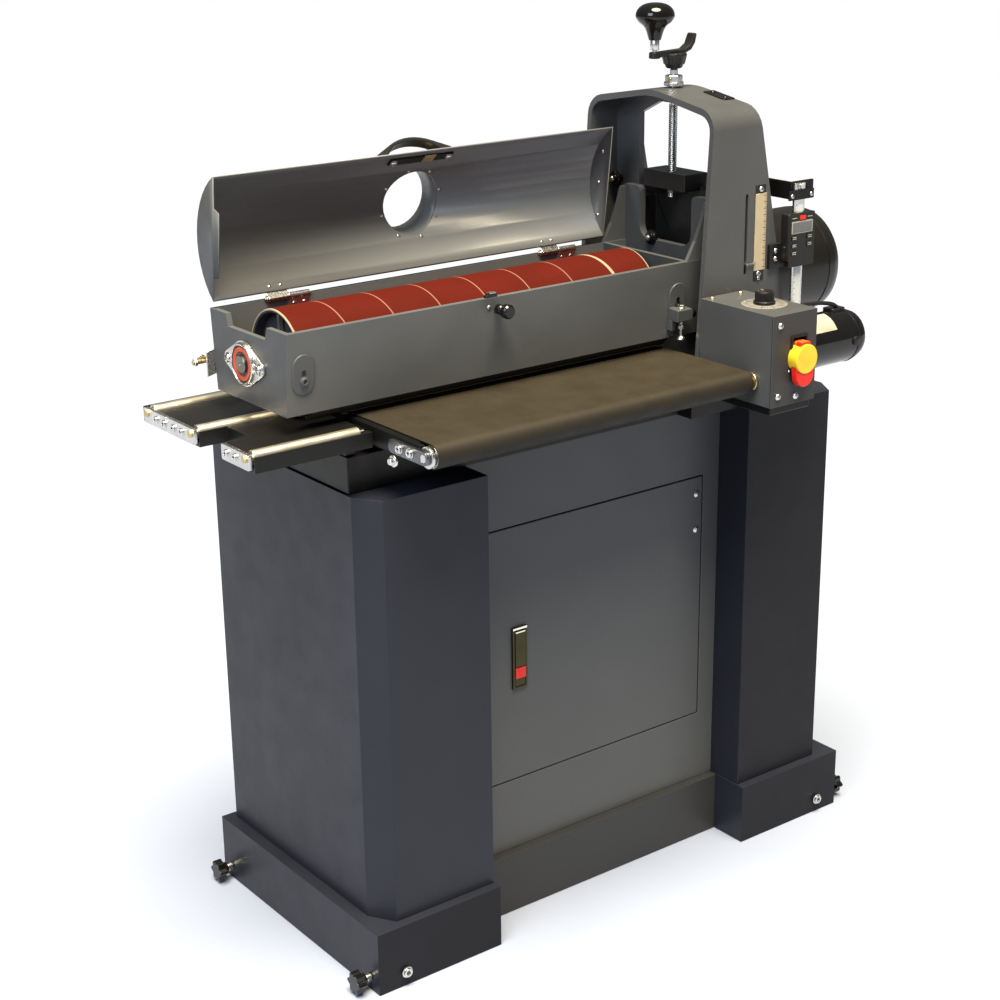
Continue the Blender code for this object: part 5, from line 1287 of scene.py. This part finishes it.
# ------------------------------------------------------------------ cabinet fittings
def latch():
    """Bright metal strips along the top edges of the cup and the lever, painted highlights, and a red push
    button with a metal foot.
    """
    low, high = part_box("latch_body")
    # painted highlight: a bright metal strip along the cup's top edge
    cup_highlight = Piece("latch_top_highlight", "cabinet_door", GROUND)
    cup_highlight.prism(round_box((high.x - low.x) / 2 - 0.0006, 0.0018, 0.0008),
              ((low.x + high.x) / 2, low.y + 0.0012, high.z - 0.0019), -Y, 0.0016, 0, Z)
    cup_highlight.done(0.0003)
    low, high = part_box("latch_lever")
    # painted highlight: a bright metal strip along the lever's top edge
    edge = Piece("lever_top_highlight", "door_lever", GROUND)
    edge.prism(round_box((high.x - low.x) / 2 - 0.0004, 0.0011, 0.0005),
               ((low.x + high.x) / 2, low.y + 0.001, high.z - 0.0011), -Y, 0.0012, 0, Z)
    edge.done(0.0002)
    low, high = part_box("latch_button")
    middle, half, depth = (low.x + high.x) / 2, (high.x - low.x) / 2, high.y - low.y
    push = Piece("latch_push", "door_button", RED, LATCH)
    push.prism(round_box(half, 0.0086, 0.0012), (middle, high.y, high.z - 0.0086), -Y, depth, 0, Z)
    push.prism(round_box(half, 0.0062, 0.0012), (middle, high.y, low.z + 0.0064), -Y, depth - 0.002, 1, Z)
    push.done(0.0004, replaces=("latch_button",))


def cabinet_fittings():
    """The door's screws, the axle bolts, the brake sleeves, the bay's top sheet and the base's bolts."""
    door_low, door_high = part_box("door")
    screws("door_hinge_screws", "cabinet_door", "pan",
           [(door_high.x - 0.0125, door_low.y, z) for z in (door_high.z - 0.028, door_high.z - 0.088)], -Y,
           0.0046, 0.0026, ring=0.0054)
    for side in ("left", "right"):
        low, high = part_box(side + "_plinth")
        for end, face, out in (("front", low.y, -Y), ("rear", high.y, Y)):
            wheel = centre(f"{end}_{side}_wheel")
            screws(f"{end}_{side}_axle_bolt", "stand", "socket", [(wheel.x, face, wheel.z)], out, 0.0072,
                   0.0034, ring=0.0088)
    latch()
    for side, inward in (("left", 1), ("right", -1)):
        low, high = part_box(side + "_plinth")
        face = low.x if side == "left" else high.x
        for end in ("front", "rear"):
            axle = centre(f"{end}_{side}_brake_knob")
            sleeve = Piece(f"{end}_{side}_brake_sleeve", f"{end}_{side}_brake", ZINC)
            sleeve.ring([(0.0062, 0.0), (0.0072, 0.0008), (0.0072, 0.0084), (0.0062, 0.0092),
                         (0.0041, 0.0092), (0.0041, 0.0)], (face - inward * 0.0006, axle.y, axle.z),
                        -X * inward, 28)
            sleeve.done(0.0003)
    frame_low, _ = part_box("front_frame")
    _, back_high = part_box("back_panel")
    gap, sheet = 0.0004, 0.0022
    deck = Piece("bay_top_sheet", "stand", CABINET)
    deck.block((frame_low.x + gap, frame_low.y + 0.003, back_high.z - sheet - gap),
               (back_high.x - gap, back_high.y - 0.003, back_high.z - gap))
    deck.done(0.0004)
    base_low, base_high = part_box("machine_base")
    spots = [(x, y, base_high.z) for x in (COLUMN_LOW.x + 0.045, base_high.x - 0.05)
             for y in (AXIS.y - 0.105, AXIS.y + 0.105)]
    screws("column_foot_bolts", "stand", "hex", spots, Z, 0.0085, 0.0065, ring=0.0105)
    bolts = [(x, base_high.y, base_high.z - 0.02)
             for x in (base_low.x + 0.06, base_low.x + 0.3, base_high.x - 0.06)]
    screws("base_rear_bolts", "stand", "hex", bolts, Y, 0.0065, 0.0045, ring=0.0085)


cabinet_fittings()


# ------------------------------------------------------------------ camera, light and floor
CAMERA_AT = (-1.7181, -2.1718, 1.5894)
CAMERA_TURNS = (36.958, -19.126, -0.716)        # yaw, pitch and roll in degrees
LENS_MM, SENSOR_MM = 68.12, 36.0
SUN_POWER, SUN_SPREAD = 14.0, math.radians(38.0)
SUN_COLOUR, SUN_DIRECTION = (1.0, 0.87, 0.62), (0.12, 0.24, -0.96)
FILL_AT, FILL_AIM, FILL_SIZE = (-2.3, -0.8, 2.4), (-0.2, 0.0, 0.8), 1.3
FILL_POWER, FILL_COLOUR = 52.0, (0.78, 0.88, 1.0)
SURROUND_COLOUR, SURROUND_POWER = (0.9, 0.95, 1.0), 0.18
FLOOR_HALF, FLOOR_DROP = 9.0, 0.0005


def camera():
    """The photograph's viewpoint."""
    yaw, pitch, roll = (math.radians(turn) for turn in CAMERA_TURNS)
    right = Vector((math.cos(yaw), -math.sin(yaw), 0.0))
    forward = Vector((math.sin(yaw) * math.cos(pitch), math.cos(yaw) * math.cos(pitch), math.sin(pitch)))
    up = right.cross(forward)
    side = right * math.cos(roll) + up * math.sin(roll)
    top = up * math.cos(roll) - right * math.sin(roll)
    data = bpy.data.cameras.new("camera")
    data.sensor_width = SENSOR_MM
    data.lens = LENS_MM
    data.clip_start, data.clip_end = 0.1, 50.0
    obj = bpy.data.objects.new("camera", data)
    bpy.context.scene.collection.objects.link(obj)
    obj.matrix_world = Matrix.Translation(CAMERA_AT) @ Matrix((side, top, -forward)).transposed().to_4x4()
    bpy.context.scene.camera = obj


def lamp(name, kind, power, colour, direction):
    """A light that shines along a direction."""
    data = bpy.data.lights.new(name, kind)
    data.energy = power
    data.color = colour
    obj = bpy.data.objects.new(name, data)
    bpy.context.scene.collection.objects.link(obj)
    obj.rotation_mode = "QUATERNION"
    obj.rotation_quaternion = Vector(direction).to_track_quat("-Z", "Y")
    return obj


def studio():
    """A warm overhead light, a cool low one from the open end, and a white surround."""
    world = bpy.data.worlds.new("studio")
    bpy.context.scene.world = world
    world.use_nodes = True
    tree = world.node_tree
    seen = tree.nodes["Background"]
    seen.inputs["Color"].default_value = (1.0, 1.0, 1.0, 1.0)
    seen.inputs["Strength"].default_value = 1.0
    lighting = tree.nodes.new("ShaderNodeBackground")
    lighting.inputs["Color"].default_value = (*SURROUND_COLOUR, 1.0)
    lighting.inputs["Strength"].default_value = SURROUND_POWER
    path = tree.nodes.new("ShaderNodeLightPath")
    both = tree.nodes.new("ShaderNodeMixShader")
    tree.links.new(path.outputs["Is Camera Ray"], both.inputs["Fac"])
    tree.links.new(lighting.outputs["Background"], both.inputs[1])
    tree.links.new(seen.outputs["Background"], both.inputs[2])
    tree.links.new(both.outputs["Shader"], tree.nodes["World Output"].inputs["Surface"])
    overhead = lamp("overhead", "SUN", SUN_POWER, SUN_COLOUR, SUN_DIRECTION)
    overhead.data.angle = SUN_SPREAD
    fill = lamp("open_end", "AREA", FILL_POWER, FILL_COLOUR, Vector(FILL_AIM) - Vector(FILL_AT))
    fill.location = FILL_AT
    fill.data.shape = "RECTANGLE"
    fill.data.size = fill.data.size_y = FILL_SIZE
    s = Shader("pale_floor", 0.55)
    s.colour(s.ramp(s.noise(1.2, 3.0), (0.3, (0.245, 0.282, 0.395)), (0.7, (0.252, 0.29, 0.405))))
    s.bump(s.noise(90.0, 3.0), 0.0002, 0.2)
    mesh = bpy.data.meshes.new("floor")
    bm = bmesh.new()
    bmesh.ops.create_grid(bm, x_segments=8, y_segments=8, size=FLOOR_HALF)
    for vert in bm.verts:
        vert.co.z = -FLOOR_DROP
    bm.to_mesh(mesh)
    bm.free()
    mesh.materials.append(s.material)
    floor = bpy.data.objects.new("floor", mesh)
    bpy.context.scene.collection.objects.link(floor)


scene_look = bpy.context.scene.view_settings
scene_look.view_transform = "Standard"
camera()
studio()
